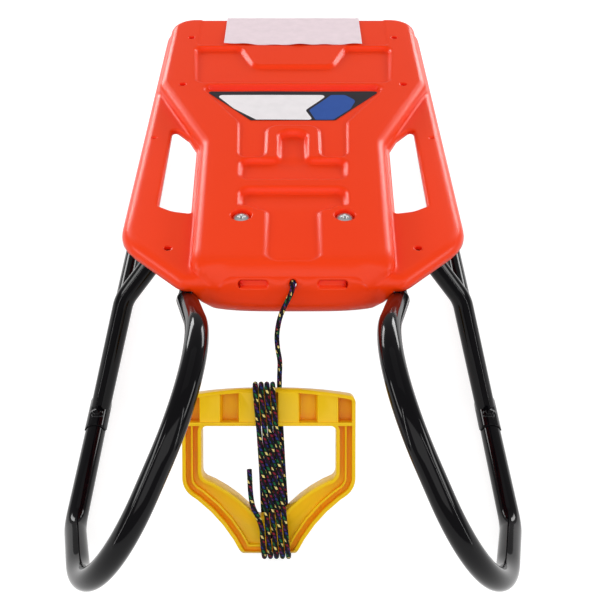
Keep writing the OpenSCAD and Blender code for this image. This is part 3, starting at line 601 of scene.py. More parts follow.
# a turned piece about Z; the profile runs up the outside, in mm
def turned(name, profile, sides, material, at=(0, 0, 0)):
    verts, faces, rings = [], [], []
    angles = [2 * math.pi * k / sides for k in range(sides)]
    for r, z in profile:
        if r <= 1e-6:
            rings.append([len(verts)])
            verts.append((0, 0, z))
        else:
            rings.append(list(range(len(verts), len(verts) + sides)))
            verts += [(r * math.cos(g), r * math.sin(g), z) for g in angles]
    for a, b in zip(rings[:-1], rings[1:]):
        for k in range(sides):
            m = (k + 1) % sides
            if len(a) == 1 and len(b) > 1:
                faces.append((a[0], b[m], b[k]))
            elif len(b) == 1 and len(a) > 1:
                faces.append((a[k], a[m], b[0]))
            elif len(a) > 1:
                faces.append((a[k], a[m], b[m], b[k]))
    obj = newObject(name, [np.array(v) / 1000 + np.array(at) for v in verts], faces, material)
    facingOut(obj.data)
    return obj


runner = {"half": 201.5, "lean": 30.5, "tube": 20.0, "skidEnd": 676.0, "nose": (-158, 90),
          "loop": (-13, 270), "bends": [0, 54, 96, 108, 20, 12, 0], "tabRoot": (97, 127.5, 176),
          "tabTurn": (97.5, 151, 176), "bolt": (117, 172, 176), "tabEnd": 11.0, "tabRound": 9.0,
          "tabNarrow": 0.2, "tabThin": 0.8, "flattenFrom": 3.0, "flatten": 16.0, "sides": 40}
tubeR = runner["tube"] / 2


def leaning(station, rise):
    lean = math.radians(runner["lean"])
    return np.array((runner["half"] - rise * math.sin(lean), station,
                     tubeR + rise * math.cos(lean)))


def runnerLine():
    root, turn, bolt = (np.array(runner[key], float) for key in ("tabRoot", "tabTurn", "bolt"))
    end = bolt + unit(bolt - turn) * runner["tabEnd"]
    corners = [np.array((runner["half"], runner["skidEnd"], tubeR)),
               np.array((runner["half"], 0, tubeR)),
               leaning(*runner["nose"]), leaning(*runner["loop"]), root, turn, end]
    return spread(filletPath(corners, runner["bends"], 2.5), 7.0), root


def makeRunner(name, side):
    line, root = runnerLine()
    line = line * np.array((side, 1, 1))
    root = root * np.array((side, 1, 1))
    n = runner["sides"]
    obj = tubeAlong(name, [place(*p) for p in line], tubeR / 1000, n, enamel)
    run = np.concatenate([[0], np.cumsum(np.linalg.norm(np.diff(line, axis=0), axis=1))])
    rootRun = run[int(np.argmin(np.linalg.norm(line - root, axis=1)))]
    co = np.array([v.co for v in obj.data.vertices]) * 1000 + np.array((0, midStation, 0))
    # the tree may lay its rings from either end of the line
    backwards = np.linalg.norm(co[:n].mean(axis=0) - line[0]) > 50
    for i in range(len(line)):
        at = len(line) - 1 - i if backwards else i
        w = (run[at] - rootRun + runner["flattenFrom"]) / runner["flatten"]
        w = float(np.clip(w, 0, 1))
        if w <= 0:
            continue
        w = w * w * (3 - 2 * w)
        t = unit(line[min(at + 1, len(line) - 1)] - line[max(at - 1, 0)])
        up = unit(np.array((0, 0, 1.0)) - t[2] * t)
        across = np.cross(t, up)
        # the tab's end is rounded in plan
        past = max(0.0, (run[at] - run[-1] + runner["tabRound"]) / runner["tabRound"])
        wide = (1 - runner["tabNarrow"] * w) * math.sqrt(max(0.02, 1 - past * past))
        thin = 1 - runner["tabThin"] * w
        for k in range(i * n, i * n + n):
            o = co[k] - line[at]
            co[k] = line[at] + across * (o @ across) * wide + up * (o @ up) * thin
    for v, p in zip(obj.data.vertices, co):
        v.co = place(*p)
    return obj


rightRunner = makeRunner("rightRunnerTube", 1)
leftRunner = makeRunner("leftRunnerTube", -1)

bow = {"front": 212.0, "rear": 540.0, "corners": [(201.5, -67, 10), (170, -18, 121), (131, 0, 168)],
       "bends": [0, 40, 35], "shellIn": 10.05, "shellOut": 11.1, "footFrom": -96.4, "footTo": -54.4,
       "clasp": 96.0, "claspEnd": 78.0, "corner": 9.0, "edge": 0.9, "rivet": -79.6, "pad": 5.2,
       "padTop": 22.0, "rivetHead": 8.6, "rivetDome": 2.2}


# half round foot that clasps the skid, its corners rounded in plan
def footShell(name, side, station, way):
    verts = []
    around, along = 28, 15
    length = bow["footTo"] - bow["footFrom"]
    for i in range(along + 1):
        y = bow["footFrom"] + length * i / along
        end = min(1, min(i, along - i) / along * length / bow["corner"])
        reach = bow["claspEnd"] + (bow["clasp"] - bow["claspEnd"]) * math.sqrt(1 - (1 - end) ** 2)
        for k in range(around + 1):
            g = math.radians(reach * (2 * k / around - 1))
            verts.append(place(side * (runner["half"] + bow["shellOut"] * math.sin(g)),
                               station + way * y, tubeR + bow["shellOut"] * math.cos(g)))
    obj = newObject(name, verts, gridFaces(along, around), enamel)
    bm = bmesh.new()
    bm.from_mesh(obj.data)
    bmesh.ops.recalc_face_normals(bm, faces=bm.faces)
    axis = place(side * runner["half"], station, tubeR)
    outwards = 0
    for f in bm.faces:
        c = f.calc_center_median()
        outwards += (c - Vector((axis.x, c.y, axis.z))).dot(f.normal)
    if outwards < 0:
        bmesh.ops.reverse_faces(bm, faces=bm.faces)
    bm.to_mesh(obj.data)
    bm.free()
    wall = obj.modifiers.new("wall", "SOLIDIFY")
    wall.thickness = (bow["shellOut"] - bow["shellIn"]) / 1000
    wall.offset = -1
    soft = obj.modifiers.new("edges", "BEVEL")
    soft.width = bow["edge"] / 1000
    soft.segments = 3
    soft.limit_method = "ANGLE"
    soft.angle_limit = math.radians(50)
    return frozen(obj)


def makeBow(name, station, way):
    half = [np.array(c, float) for c in bow["corners"]]
    corners = half + [c * np.array((-1, 1, 1)) for c in reversed(half)]
    line = spread(filletPath(corners, doubled(bow["bends"]), 2.5), 8.0)
    spots = [place(p[0], station + way * p[1], p[2]) for p in line]
    pieces = [tubeAlong(name + "Tube", spots, tubeR / 1000, runner["sides"], enamel)]
    r, top = bow["pad"], bow["padTop"]
    pad = [(r + 2.2, 19.6), (r + 1.2, 20.8), (r + 0.4, 21.4), (r, top - 0.3), (r - 0.4, top), (0, top)]
    for side in (1, -1):
        pieces.append(footShell(name + "Foot", side, station, way))
        pieces.append(turned(name + "Pad", pad, 36, enamel,
                             place(side * runner["half"], station + way * bow["rivet"], 0)))
    return joined(name, pieces)


frontBow = makeBow("frontBowTube", bow["front"], 1)
rearBow = makeBow("rearBowTube", bow["rear"], -1)


def rivetRow(name, station, way):
    r, h, edge = bow["rivetHead"] / 2, bow["rivetDome"], 0.25
    dome = [(r * math.cos(g), edge + (h - edge) * math.sin(g))
            for g in np.linspace(0.2, math.pi / 2 - 0.02, 7)]
    head = turned("rivetHead", [(0, 0), (r, 0), (r, edge)] + dome + [(0, h)], 28, enamel)
    spots = [place(side * runner["half"], station + way * bow["rivet"], bow["padTop"] - 0.02)
             for side in (1, -1)]
    return onPoints(name, spots, head, enamel)


frontRivets = rivetRow("frontBowRivetHeads", bow["front"], 1)
rearRivets = rivetRow("rearBowRivetHeads", bow["rear"], -1)
print("tubes bent")


# relief tools: distances in the plan, and a mesh that follows given lines
def segmentDistance(points, line):
    best = np.full(len(points), 1e9)
    for p, q in zip(line[:-1], line[1:]):
        d = q - p
        t = np.clip(((points - p) @ d) / max(float(d @ d), 1e-12), 0, 1)
        r = points - (p + t[:, None] * d)
        best = np.minimum(best, r[:, 0] ** 2 + r[:, 1] ** 2)
    return np.sqrt(best)


# positive inside the outline
def insideDistance(points, outline):
    ring = np.vstack([outline, outline[:1]])
    inside = np.zeros(len(points), bool)
    for p, q in zip(ring[:-1], ring[1:]):
        if p[1] != q[1]:
            crosses = (p[1] > points[:, 1]) != (q[1] > points[:, 1])
            reach = p[0] + (points[:, 1] - p[1]) * (q[0] - p[0]) / (q[1] - p[1])
            inside ^= crosses & (points[:, 0] < reach)
    far = segmentDistance(points, ring)
    return np.where(inside, far, -far)


def insetOutline(corners, radii, d, spacing):
    pts = [np.array(c, float) for c in corners]
    count = len(pts)
    area = sum(pts[i - 1][0] * pts[i][1] - pts[i][0] * pts[i - 1][1] for i in range(count))
    sign = 1 if area > 0 else -1
    moved, bends = [], []
    for i in range(count):
        u, v = unit(pts[i] - pts[i - 1]), unit(pts[(i + 1) % count] - pts[i])
        nu, nv = sign * np.array((-u[1], u[0])), sign * np.array((-v[1], v[0]))
        moved.append(pts[i] + (nu + nv) * d / (1 + nu @ nv))
        convex = sign * (u[0] * v[1] - u[1] * v[0]) > 0
        bends.append(max(0.4, radii[i] - d if convex else radii[i] + d))
    return closedOutline(moved, bends, spacing)


def ease(t):
    t = np.clip(t, 0, 1)
    return t * t * (3 - 2 * t)


def reliefMesh(domain, holes, loops, grid):
    verts, edges = [], []
    for line in [domain] + holes + loops:
        start = len(verts)
        verts += [tuple(p) for p in line]
        edges += [(start + i, start + (i + 1) % len(line)) for i in range(len(line))]
    near = KDTree(len(verts))
    for i, p in enumerate(verts):
        near.insert((p[0], p[1], 0), i)
    near.balance()
    low, high = domain.min(axis=0), domain.max(axis=0)
    for x in np.arange(low[0] + grid / 2, high[0], grid):
        for y in np.arange(low[1] + grid / 2, high[1], grid):
            if near.find((x, y, 0))[2] > 0.5 * grid:
                verts.append((x, y))
    found = delaunay_2d_cdt([Vector(v) for v in verts], edges, [], 0, 1e-4, False)
    flat = np.array([tuple(v) for v in found[0]])
    tris = np.array(found[2])
    middle = flat[tris].mean(axis=1)
    keep = insideDistance(middle, domain) > 0
    for hole in holes:
        keep &= insideDistance(middle, hole) < 0
    tris = tris[keep]
    a, b, c = flat[tris[:, 0]], flat[tris[:, 1]], flat[tris[:, 2]]
    turn = (b[:, 0] - a[:, 0]) * (c[:, 1] - a[:, 1]) - (b[:, 1] - a[:, 1]) * (c[:, 0] - a[:, 0])
    tris[turn < 0] = tris[turn < 0][:, ::-1]
    used = np.unique(tris)
    index = np.full(len(flat), -1)
    index[used] = np.arange(len(used))
    return flat[used], index[tris]


def circle(at, r, spacing=2.0):
    n = max(14, int(2 * math.pi * r / spacing))
    angles = [2 * math.pi * k / n for k in range(n)]
    return np.array([(at[0] + r * math.cos(g), at[1] + r * math.sin(g)) for g in angles])


def flipped(outline):
    return outline * np.array((-1, 1))


def bothSides(outline):
    return [outline, flipped(outline)]


# lines along a sunk field's slope, which hold its form in the mesh
def fieldLines(corners, bends, slope, spacing=3.5, rest=1.5):
    steps = (-slope / 2 - rest, -slope / 2, -slope / 4, 0, slope / 4, slope / 2, slope / 2 + rest)
    return [insetOutline(corners, bends, d, spacing) for d in steps]


seat = {"front": 122.5, "top": 215.0, "wing": 202.0, "roll": 12.0, "round": 12.0, "wall": 3.0,
        "grid": 6.0, "lip": 3.0, "rimFrom": 66, "leanBack": 34,
        "trayHalf": [(101, 122.5), (166, 188), (166, 674)], "trayBends": [20, 60, 38],
        "blockHalf": [(93, 122.2), (100, 346), (160, 482), (160, 667)],
        "blockBends": [25, 25, 30, 32],
        "window": [(100.3, 230), (119, 233.8), (133.5, 243), (134.5, 399), (114, 373), (104.2, 350)],
        "windowBends": [2.2, 24, 3.5, 3.5, 10, 10],
        # screw bosses: x, station, radius, foot and head
        "bosses": [(49.5, 212, 10, 178.2, 206.5), (49.5, 540, 10, 178.2, 207.5),
                   (117, 172, 7.25, 178.2, 193)]}
nose = {"low": 169.0, "half": 55, "edgeHalf": 89, "holeZ": 198, "hole": 3.2, "sinkR": 4.5, "sink": 0.9,
        "slot": [(22.5, 194.8), (49, 194.8), (49, 200.4), (22.5, 200.4)], "slotBends": [2.8] * 4,
        "slotDepth": 3.2, "slotSlope": 2.0, "lean": 6.0, "bow": 6.0, "curl": 3.2,
        "lowHalf": 71, "lowTurn": (12, 14), "topTurn": (4, 6), "cornerEnd": 190}

# sunk fields of the seat's top: half outline, corner bends, depth by station and slope's width
hollows = {
    "frontTee": {"half": [(25, 134.5), (25, 219), (52, 219), (52, 255)], "bends": [12, 8, 9, 9],
                 "depth": [(134, 2.4), (222, 3.4), (255, 6.5)], "slope": 7.0,
                 "around": (49.5, 209, 17.5)},
    "rearTee": {"half": [(54, 272), (54, 310), (14.5, 310), (14.5, 368)], "bends": [9, 9, 7, 11],
                "depth": [(272, 2.8), (308, 6.0), (318, 4.6), (368, 7.0)], "slope": 7.0},
    "label": {"half": [(28.5, 381), (28.5, 314), (57, 314), (60, 388), (110, 474)],
              "bends": [14, 9, 9, 16, 9], "depth": [(314, 2.6), (388, 3.0)], "slope": 5.0},
    "labelWall": {"half": [(97, 464), (108, 474)], "bends": [3, 5],
                  "depth": [(464, 5.5), (474, 7.0)], "slope": 4.0},
    "panel": {"half": [(114, 481), (122, 577), (66.5, 577), (47.5, 524)],
              "bends": [10, 10, 12, 12], "depth": [(481, 3.2), (577, 5.5)], "slope": 6.0},
    "ledge": {"half": [(120, 581), (120, 700)], "bends": [5, 5], "depth": [(581, 1.0)],
              "slope": 4.0},
}
pits = {
    "screw": {"at": [(49.5, 208)], "r": 9.6, "depth": 6.0, "slope": 2.2},
    "wing": {"at": [(117, 172)], "r": 3.2, "depth": 6.0, "slope": 1.4},
    "socket": {"at": [(129.5, 603), (129.5, 475)], "r": 3.6, "depth": 6.5, "slope": 1.6},
    "dimple": {"at": [(152.5, 374)], "r": 2.6, "depth": 1.6, "slope": 1.6},
}

trayCorners, trayBends = mirrored(seat["trayHalf"]), doubled(seat["trayBends"])
tray = closedOutline(trayCorners, trayBends, 4.0)
rimEnd = (seat["rimFrom"], seat["front"])
rimLine = filletPath([rimEnd] + trayCorners + [(-rimEnd[0], rimEnd[1])], [0] + trayBends + [0], 4)
blockCorners, blockBends = mirrored(seat["blockHalf"]), doubled(seat["blockBends"])
block = closedOutline(blockCorners, blockBends, 4.0)
windowRight = closedOutline(seat["window"], seat["windowBends"], 3.0)
# the step up to the block: a small fillet, a steep wall and the rounded shoulder
stepAngles = np.radians([0, 14, 28, 42, 56, 70, 80, 90])
stepUp = seat["top"] - seat["wing"]
stepAt = np.concatenate([[-2.8, -1.8, -1.0, -0.5, -0.3],
                         0.3 + seat["round"] * (1 - np.cos(stepAngles))])
stepRise = stepUp - seat["round"] + seat["round"] * np.sin(stepAngles)
stepShare = np.concatenate([[0, 0.08, 0.28, 0.6, 0.9], stepRise]) / stepUp


def seatHeight(points):
    z = np.full(len(points), seat["wing"])
    edge = np.clip(1 - segmentDistance(points, rimLine) / seat["roll"], 0, 1)
    z -= seat["roll"] * (1 - np.sqrt(1 - edge ** 2))
    # the shoulder widens towards the nose
    soft = 1 + 1.2 * (1 - ease((points[:, 1] - seat["front"]) / 30))
    z += (seat["top"] - z) * np.interp(insideDistance(points, block) / soft, stepAt, stepShare)
    sunk = np.zeros(len(points))
    folded = np.column_stack([np.abs(points[:, 0]), points[:, 1]])
    for f in hollows.values():
        outline = closedOutline(mirrored(f["half"]), doubled(f["bends"]), 3.0)
        share = ease(insideDistance(points, outline) / f["slope"] + 0.5)
        if "around" in f:  # the field's edge bends round a screw
            x, y, r = f["around"]
            gap = np.hypot(folded[:, 0] - x, folded[:, 1] - y) - r
            share = np.minimum(share, ease(gap / f["slope"] + 0.5))
        stations, depths = zip(*f["depth"])
        sunk = np.maximum(sunk, np.interp(points[:, 1], stations, depths) * share)
    for f in pits.values():
        for at in f["at"]:
            gap = f["r"] - np.hypot(folded[:, 0] - at[0], folded[:, 1] - at[1])
            sunk = np.maximum(sunk, f["depth"] * ease(gap / f["slope"] + 0.5))
    z -= sunk
    off = np.clip(-insideDistance(folded, windowRight), 0, 3)  # rounded edge of the hand windows
    return z - (3 - np.sqrt(9 - (3 - off) ** 2))


# how far the nose's front bows forwards and curls under, by place on its face
def noseCurl(x, z):
    leant = nose["lean"] * ease((z - 192) / 18) * (1 - ease((np.abs(x) - 66) / 28))
    bowed = nose["bow"] * np.clip(1 - (np.abs(x) / 76) ** 4, 0, 1) * ease((205 - z) / 30)
    return nose["curl"] * ease((178 - z) / 10) - bowed + leant


def seatLoops():
    loops = []
    for g in np.radians([20, 38, 54, 68, 80, 90]):
        loops.append(insetOutline(trayCorners, trayBends, seat["roll"] * (1 - math.cos(g)), 4.0))
    for d in list(stepAt) + [-4.5, 10.0]:
        loops.append(insetOutline(blockCorners, blockBends, d, 4.0))
    for f in hollows.values():
        loops += fieldLines(mirrored(f["half"]), doubled(f["bends"]), f["slope"])
        if "around" in f:
            x, y, r = f["around"]
            for d in (-0.5, -0.25, 0, 0.25, 0.5):
                loops += bothSides(circle((x, y), r + d * f["slope"], 3.0))
    for f in pits.values():
        for at in f["at"]:
            s = f["slope"]
            for d in (-0.5 * s - 1, -0.5 * s, -0.25 * s, 0, 0.25 * s, 0.5 * s):
                loops += bothSides(circle(at, f["r"] - d))
    for d in (-0.4, -1.3, -3.0, -4.5):
        loops += bothSides(insetOutline(seat["window"], seat["windowBends"], d, 3.0))
    return loops


# lips of the hand windows hang from the hole's own edge
def hangLips(bm, top):
    spots = np.array([(abs(v.co.x * 1000), v.co.y * 1000 + midStation) for v in top])
    onLip = np.abs(insideDistance(spots, windowRight)) < 0.02
    lip = {v for v, on in zip(top, onLip) if on}
    edge = [e for e in bm.edges if e.is_boundary and e.verts[0] in lip and e.verts[1] in lip]
    for share in (0.3, 0.4, 0.3):
        made = bmesh.ops.extrude_edge_only(bm, edges=edge)["geom"]
        for v in [g for g in made if isinstance(g, bmesh.types.BMVert)]:
            v.co.z -= seat["lip"] * share / 1000
        edge = [g for g in made if isinstance(g, bmesh.types.BMEdge)]


# front panel with its two slots and the rope hole, welded to the top's front edge
def noseFront(bm, middle):
    wide, low, z = middle[-1][0], nose["low"], nose["holeZ"]
    sides = np.array([(wide, middle[-1][1]), (wide, low), (-wide, low), (-wide, middle[0][1])])
    outline = np.vstack([middle, spread(sides, 4.0)[1:-1]])
    slotLines = fieldLines(nose["slot"], nose["slotBends"], nose["slotSlope"], 1.6, 0.5)
    loops = slotLines + [flipped(o) for o in slotLines]
    loops += [circle((0, z), r, 1.4) for r in (3.7, 4.3)]
    face, tris = reliefMesh(outline, [circle((0, z), nose["hole"], 1.4)], loops, 5.0)
    folded = np.column_stack([np.abs(face[:, 0]), face[:, 1]])
    slot = closedOutline(nose["slot"], nose["slotBends"], 2.0)
    back = nose["slotDepth"] * ease(insideDistance(folded, slot) / nose["slotSlope"] + 0.5)
    back += nose["sink"] * ease((nose["sinkR"] - np.hypot(face[:, 0], face[:, 1] - z)) / 1.2)
    back += noseCurl(face[:, 0], face[:, 1])
    front = [bm.verts.new(place(x, seat["front"] + b, h)) for (x, h), b in zip(face, back)]
    for t in tris:
        bm.faces.new([front[i] for i in t])


# the nose's corners run back under the wings, narrower below than above
def noseCorners(bm, frontEdge, middle):
    wide, low, y0 = middle[-1][0], nose["low"], seat["front"]
    shared = [x for x in frontEdge[:, 0] if wide - 0.01 <= x]
    turn = np.radians(np.arange(9, 91, 9))
    last, foot, end = shared[-1], nose["lowHalf"], nose["cornerEnd"]
    a, b = nose["topTurn"]
    upper = [(x, y0) for x in shared]
    upper += [(last + a * math.sin(g), y0 + b * (1 - math.cos(g))) for g in turn]
    upper += [(last + a, y) for y in np.linspace(132, end, 10)]
    a, b = nose["lowTurn"]
    lower = [(wide + (x - wide) * (foot - wide) / (last - wide), y0) for x in shared]
    lower += [(foot + a * math.sin(g), y0 + b * (1 - math.cos(g))) for g in turn]
    lower += [(foot + a, y) for y in np.linspace(141, end, 10)]
    drops = np.linspace(0, 1, max(1, int(round((middle[-1][1] - low) / 4.0))) + 1)
    for side in (1, -1):
        rows = []
        for a, b in zip(np.array(upper), np.array(lower)):
            topZ = np.interp(a[0], frontEdge[:, 0], frontEdge[:, 1])
            topZ = topZ + 5.5 * float(ease((a[1] - y0 - 4) / 16))
            row = []
            for j in drops:
                x, y = a + (b - a) * j ** 1.3
                h = topZ + (low - topZ) * j
                row.append(bm.verts.new(place(side * x, y + float(noseCurl(x, h)), h)))
            rows.append(row)
        for a, b in zip(rows[:-1], rows[1:]):
            for j in range(len(a) - 1):
                bm.faces.new((a[j], b[j], b[j + 1], a[j + 1]))


def makeSeat():
    flat, tris = reliefMesh(tray, bothSides(windowRight), seatLoops(), seat["grid"])
    z = seatHeight(flat)
    bm = bmesh.new()
    # the front edge leans back with the nose
    back = noseCurl(flat[:, 0], z) * (1 - ease((flat[:, 1] - seat["front"]) / seat["leanBack"]))
    top = [bm.verts.new(place(x, y + b, h)) for (x, y), h, b in zip(flat, z, back)]
    for t in tris:
        bm.faces.new([top[i] for i in t])
    hangLips(bm, top)
    frontEdge = np.array(sorted([(x, h) for (x, y), h in zip(flat, z)
                                 if abs(y - seat["front"]) < 0.01 and abs(x) <= nose["edgeHalf"]],
                                key=lambda p: p[0]))
    middle = frontEdge[np.abs(frontEdge[:, 0]) <= nose["half"]]
    noseFront(bm, middle)
    noseCorners(bm, frontEdge, middle)
    bmesh.ops.remove_doubles(bm, verts=bm.verts, dist=2e-5)
    bmesh.ops.recalc_face_normals(bm, faces=bm.faces)
    bm.normal_update()
    if sum(f.normal.z * f.calc_area() for f in bm.faces) < 0:
        bmesh.ops.reverse_faces(bm, faces=bm.faces)
    # islands that face the wrong way: the front looks forwards, the corners outwards
    behind = place(0, nose["cornerEnd"], 0).y
    for f in bm.faces:
        c = f.calc_center_median()
        if c.z < 0.1985 and c.y < behind and abs(c.x) < 0.0965:
            if f.normal.dot(Vector((c.x, c.y - behind, 0))) < 0:
                f.normal_flip()
    mesh = bpy.data.meshes.new("seatMoulding")
    bm.to_mesh(mesh)
    bm.free()
    mesh.polygons.foreach_set("use_smooth", [True] * len(mesh.polygons))
    mesh.materials.append(orangePlastic)
    obj = linked("seatMoulding", mesh)
    wall = obj.modifiers.new("wall", "SOLIDIFY")
    wall.thickness = seat["wall"] / 1000
    wall.offset = -1
    pieces = [frozen(obj)]
    # screw bosses under the seat, down to the bows and the runner tabs
    for x, y, r, low, high in seat["bosses"]:
        profile = [(0, low), (r - 0.8, low), (r, low + 0.8), (r + 0.4, high - 5),
                   (r + 1.4, high - 2), (r + 3.6, high)]
        for side in (1, -1):
            pieces.append(turned("boss", profile, 40, orangePlastic, place(side * x, y, 0)))
    return joined("seatMoulding", pieces)


seatMoulding = makeSeat()
print("seat moulded,", len(seatMoulding.data.polygons), "faces")

# pull handle: the CAD form with its sharp edges broken
handleEdge = {"bevel": 0.7, "sharp": 28, "flat": 0.6}


def makeHandle():
    mesh = bpy.data.objects["pull_handle"].data.copy()
    mesh.materials.clear()
    mesh.materials.append(yellowPlastic)
    obj = linked("stirrupHandle", mesh)
    bm = bmesh.new()
    bm.from_mesh(mesh)
    bmesh.ops.remove_doubles(bm, verts=bm.verts, dist=2e-6)
    bmesh.ops.dissolve_limit(bm, angle_limit=math.radians(handleEdge["flat"]), verts=bm.verts,
                             edges=bm.edges)
    bm.to_mesh(mesh)
    bm.free()
    mesh.polygons.foreach_set("material_index", [0] * len(mesh.polygons))
    mesh.polygons.foreach_set("use_smooth", [True] * len(mesh.polygons))
    soft = obj.modifiers.new("edges", "BEVEL")
    soft.width = handleEdge["bevel"] / 1000
    soft.segments = 2
    soft.limit_method = "ANGLE"
    soft.angle_limit = math.radians(handleEdge["sharp"])
    soft.harden_normals = True
    return frozen(obj)


stirrup = makeHandle()
print("handle made")

# cross-head screws in the seat's two pockets
screw = {"at": (49.5, 208), "r": 8.2, "seat": 208.9, "height": 4.0, "arm": 3.4, "slot": 1.0,
         "side": 1.6, "sink": 1.7}


def makeScrews():
    r, arm, s = screw["r"], screw["arm"], screw["slot"]
    cross = [(arm, -s), (arm, s), (s, s), (s, arm), (-s, arm), (-s, s), (-arm, s), (-arm, -s),
             (-s, -s), (-s, -arm), (s, -arm), (s, -s)]
    bends = [0.3, 0.3, 0.2] * 4
    lines = [insetOutline(cross, bends, d, 0.6) for d in (-0.35, 0, 0.35)]
    lines += [circle((0, 0), q, 0.9) for q in (7.8, 7.0, 5.8)]
    flat, tris = reliefMesh(circle((0, 0), r, 0.8), [], lines, 0.9)
    d = np.hypot(flat[:, 0], flat[:, 1])
    dome = np.sqrt(np.clip(1 - (d / (r * 1.001)) ** 2.6, 0, 1))
    z = screw["side"] + (screw["height"] - screw["side"]) * dome
    z -= screw["sink"] * ease(insideDistance(flat, np.array(cross, float)) / 0.7 + 0.5)
    verts = [(x / 1000, y / 1000, h / 1000) for (x, y), h in zip(flat, z)]
    top = newObject("crossHead", verts, tris, zinc)
    rim = turned("headSide", [(r, -0.2), (r, 1.62)], 55, zinc)
    head = joined("crossHead", [top, rim])
    x, y = screw["at"]
    spots = [place(side * x, y, screw["seat"]) for side in (1, -1)]
    return onPoints("seatScrewHeads", spots, head, zinc)


screwHeads = makeScrews()

# end plugs of the skids
plug = {"profile": [(0, -8), (8.2, -8), (8.4, -0.3), (10, -0.3), (10, 2.4), (9.6, 3.3), (8.4, 3.9),
                    (6.5, 4.0), (0, 4.0)], "sides": 44}


def makePlug(name, side):
    obj = turned(name, plug["profile"], plug["sides"], capPlastic)
    for v in obj.data.vertices:  # laid down along the skid
        x, y, z = v.co
        v.co = place(side * runner["half"], runner["skidEnd"], tubeR) + Vector((x, z, -y))
    return obj


rightCap = makePlug("rightSkidPlug", 1)
leftCap = makePlug("leftSkidPlug", -1)
print("fasteners set")

# plain film in the label recess: charcoal ground, a pale field and a blue field, no lettering
sticker = {"z": 212.0, "ground": [(47, 394), (101, 462)], "groundBends": [3.0] * 4,
           "pale": [(-41, 395.5), (22, 395.5), (14, 417), (29, 437), (40, 453), (-89, 453),
                    (-67, 421)], "paleBends": [2, 3, 6, 12, 4, 4, 10],
           "blue": [(25, 395.5), (45, 395.5), (65, 420), (72, 440), (60, 453), (44, 453),
                    (33, 437), (18, 417)], "blueBends": [2, 2, 10, 8, 4, 3, 12, 6]}


def filmPiece(name, corners, bends, lift, material):
    outline = closedOutline(corners, bends, 3.0)
    flat, tris = reliefMesh(outline, [], [insetOutline(corners, bends, 1.0, 3.0)], 4.0)
    ripple = 0.12 * np.sin(flat[:, 0] / 17) * np.sin(flat[:, 1] / 11)
    verts = [place(x, y, sticker["z"] + lift + r) for (x, y), r in zip(flat, ripple)]
    return newObject(name, verts, tris, material)


labelFilm = joined("labelFilm", [
    filmPiece("ground", mirrored(sticker["ground"]), sticker["groundBends"], 0.35, darkFilm),
    filmPiece("paleField", sticker["pale"], sticker["paleBends"], 0.45, paleFilm),
    filmPiece("blueField", sticker["blue"], sticker["blueBends"], 0.45, blueFilm)])

# loose paper over the rear edge
band = {"half": 87.0, "from": 583.0, "bends": [0, 6, 10, 0], "thick": 0.35, "across": 44,
        "line": [(583, 214.6), (665, 214.6), (677.3, 196), (675.8, 157)], "waveLength": 60}


def makePaper():
    run = filletPath([np.array(p, float) for p in band["line"]], band["bends"], 6)
    run = spread(run, 3.0)
    verts = []
    across = band["across"]
    for i, (y, z) in enumerate(run):
        near = max(0.0, 1 - (y - band["from"]) / band["waveLength"]) if i < len(run) - 10 else 0
        for k in range(across + 1):
            x = band["half"] * (2 * k / across - 1)
            wave = near * (0.9 + 0.8 * math.sin(x / 13 + 1.0) + 0.6 * math.sin(x / 5.3))
            edge = math.sin(x / 19 + 0.6) - 3.6 * math.exp(-((x - 6) / 32) ** 2)
            verts.append(place(x, y + near ** 3 * edge, z + max(0.0, wave)))
    obj = newObject("paperBand", verts, gridFaces(len(run) - 1, across), paper)
    sheetWall = obj.modifiers.new("thickness", "SOLIDIFY")
    sheetWall.thickness = band["thick"] / 1000
    sheetWall.offset = 1
    return frozen(obj)


paperBand = makePaper()
print("film and paper laid")

# stopper knot behind the nose, drawn as one closed bight in the CAD knot's place
knot = {"wide": 2.05, "paintedShade": 3.1, "steps": 90, "inset": 3.5}


def makeKnot():
    corners = np.array([tuple(c) for c in bpy.data.objects["rope_knot"].bound_box])
    centre = corners.mean(axis=0)
    centre[1] = corners[:, 1].max() - knot["inset"] / 1000
    line = []
    for k in range(knot["steps"] + 1):
        t = 2 * math.pi * k / knot["steps"]
        x, z = math.sin(t) + 2 * math.sin(2 * t), math.cos(t) - 2 * math.cos(2 * t)
        bight = np.array((x * knot["wide"], -math.sin(3 * t) * knot["paintedShade"], z * knot["wide"]))
        line.append(centre + bight / 1000)
    return tubeAlong("stopperKnot", line, ropeR / 1000, ropeRun["sides"], knotYarn)


stopperKnot = makeKnot()

# carried-over CAD pieces get the same finishes
for node, finish in (("seat_washers", zinc), ("seat_nuts", zinc), ("rear_seat_screws", zinc),
                     ("wing_bolts", enamel), ("wing_nuts", zinc)):
    mesh = bpy.data.objects[node].data
    mesh.materials.clear()
    mesh.materials.append(finish)

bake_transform(towRope)
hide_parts("tow_rope")
for piece, body, node in (
        (rightRunner, "sled", "right_runner"), (leftRunner, "sled", "left_runner"),
        (frontBow, "sled", "front_bow"), (rearBow, "sled", "rear_bow"),
        (frontRivets, "sled", "front_bow_rivets"), (rearRivets, "sled", "rear_bow_rivets"),
        (seatMoulding, "sled", "seat_shell"), (screwHeads, "sled", "seat_screws"),
        (rightCap, "sled", "right_runner_cap"), (leftCap, "sled", "left_runner_cap"),
        (labelFilm, "sled", "label_sticker"), (paperBand, "sled", "paper_band"),
        (stopperKnot, "sled", "rope_knot"), (stirrup, "pull_handle", "pull_handle")):
    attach(piece, body)
    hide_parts(node)

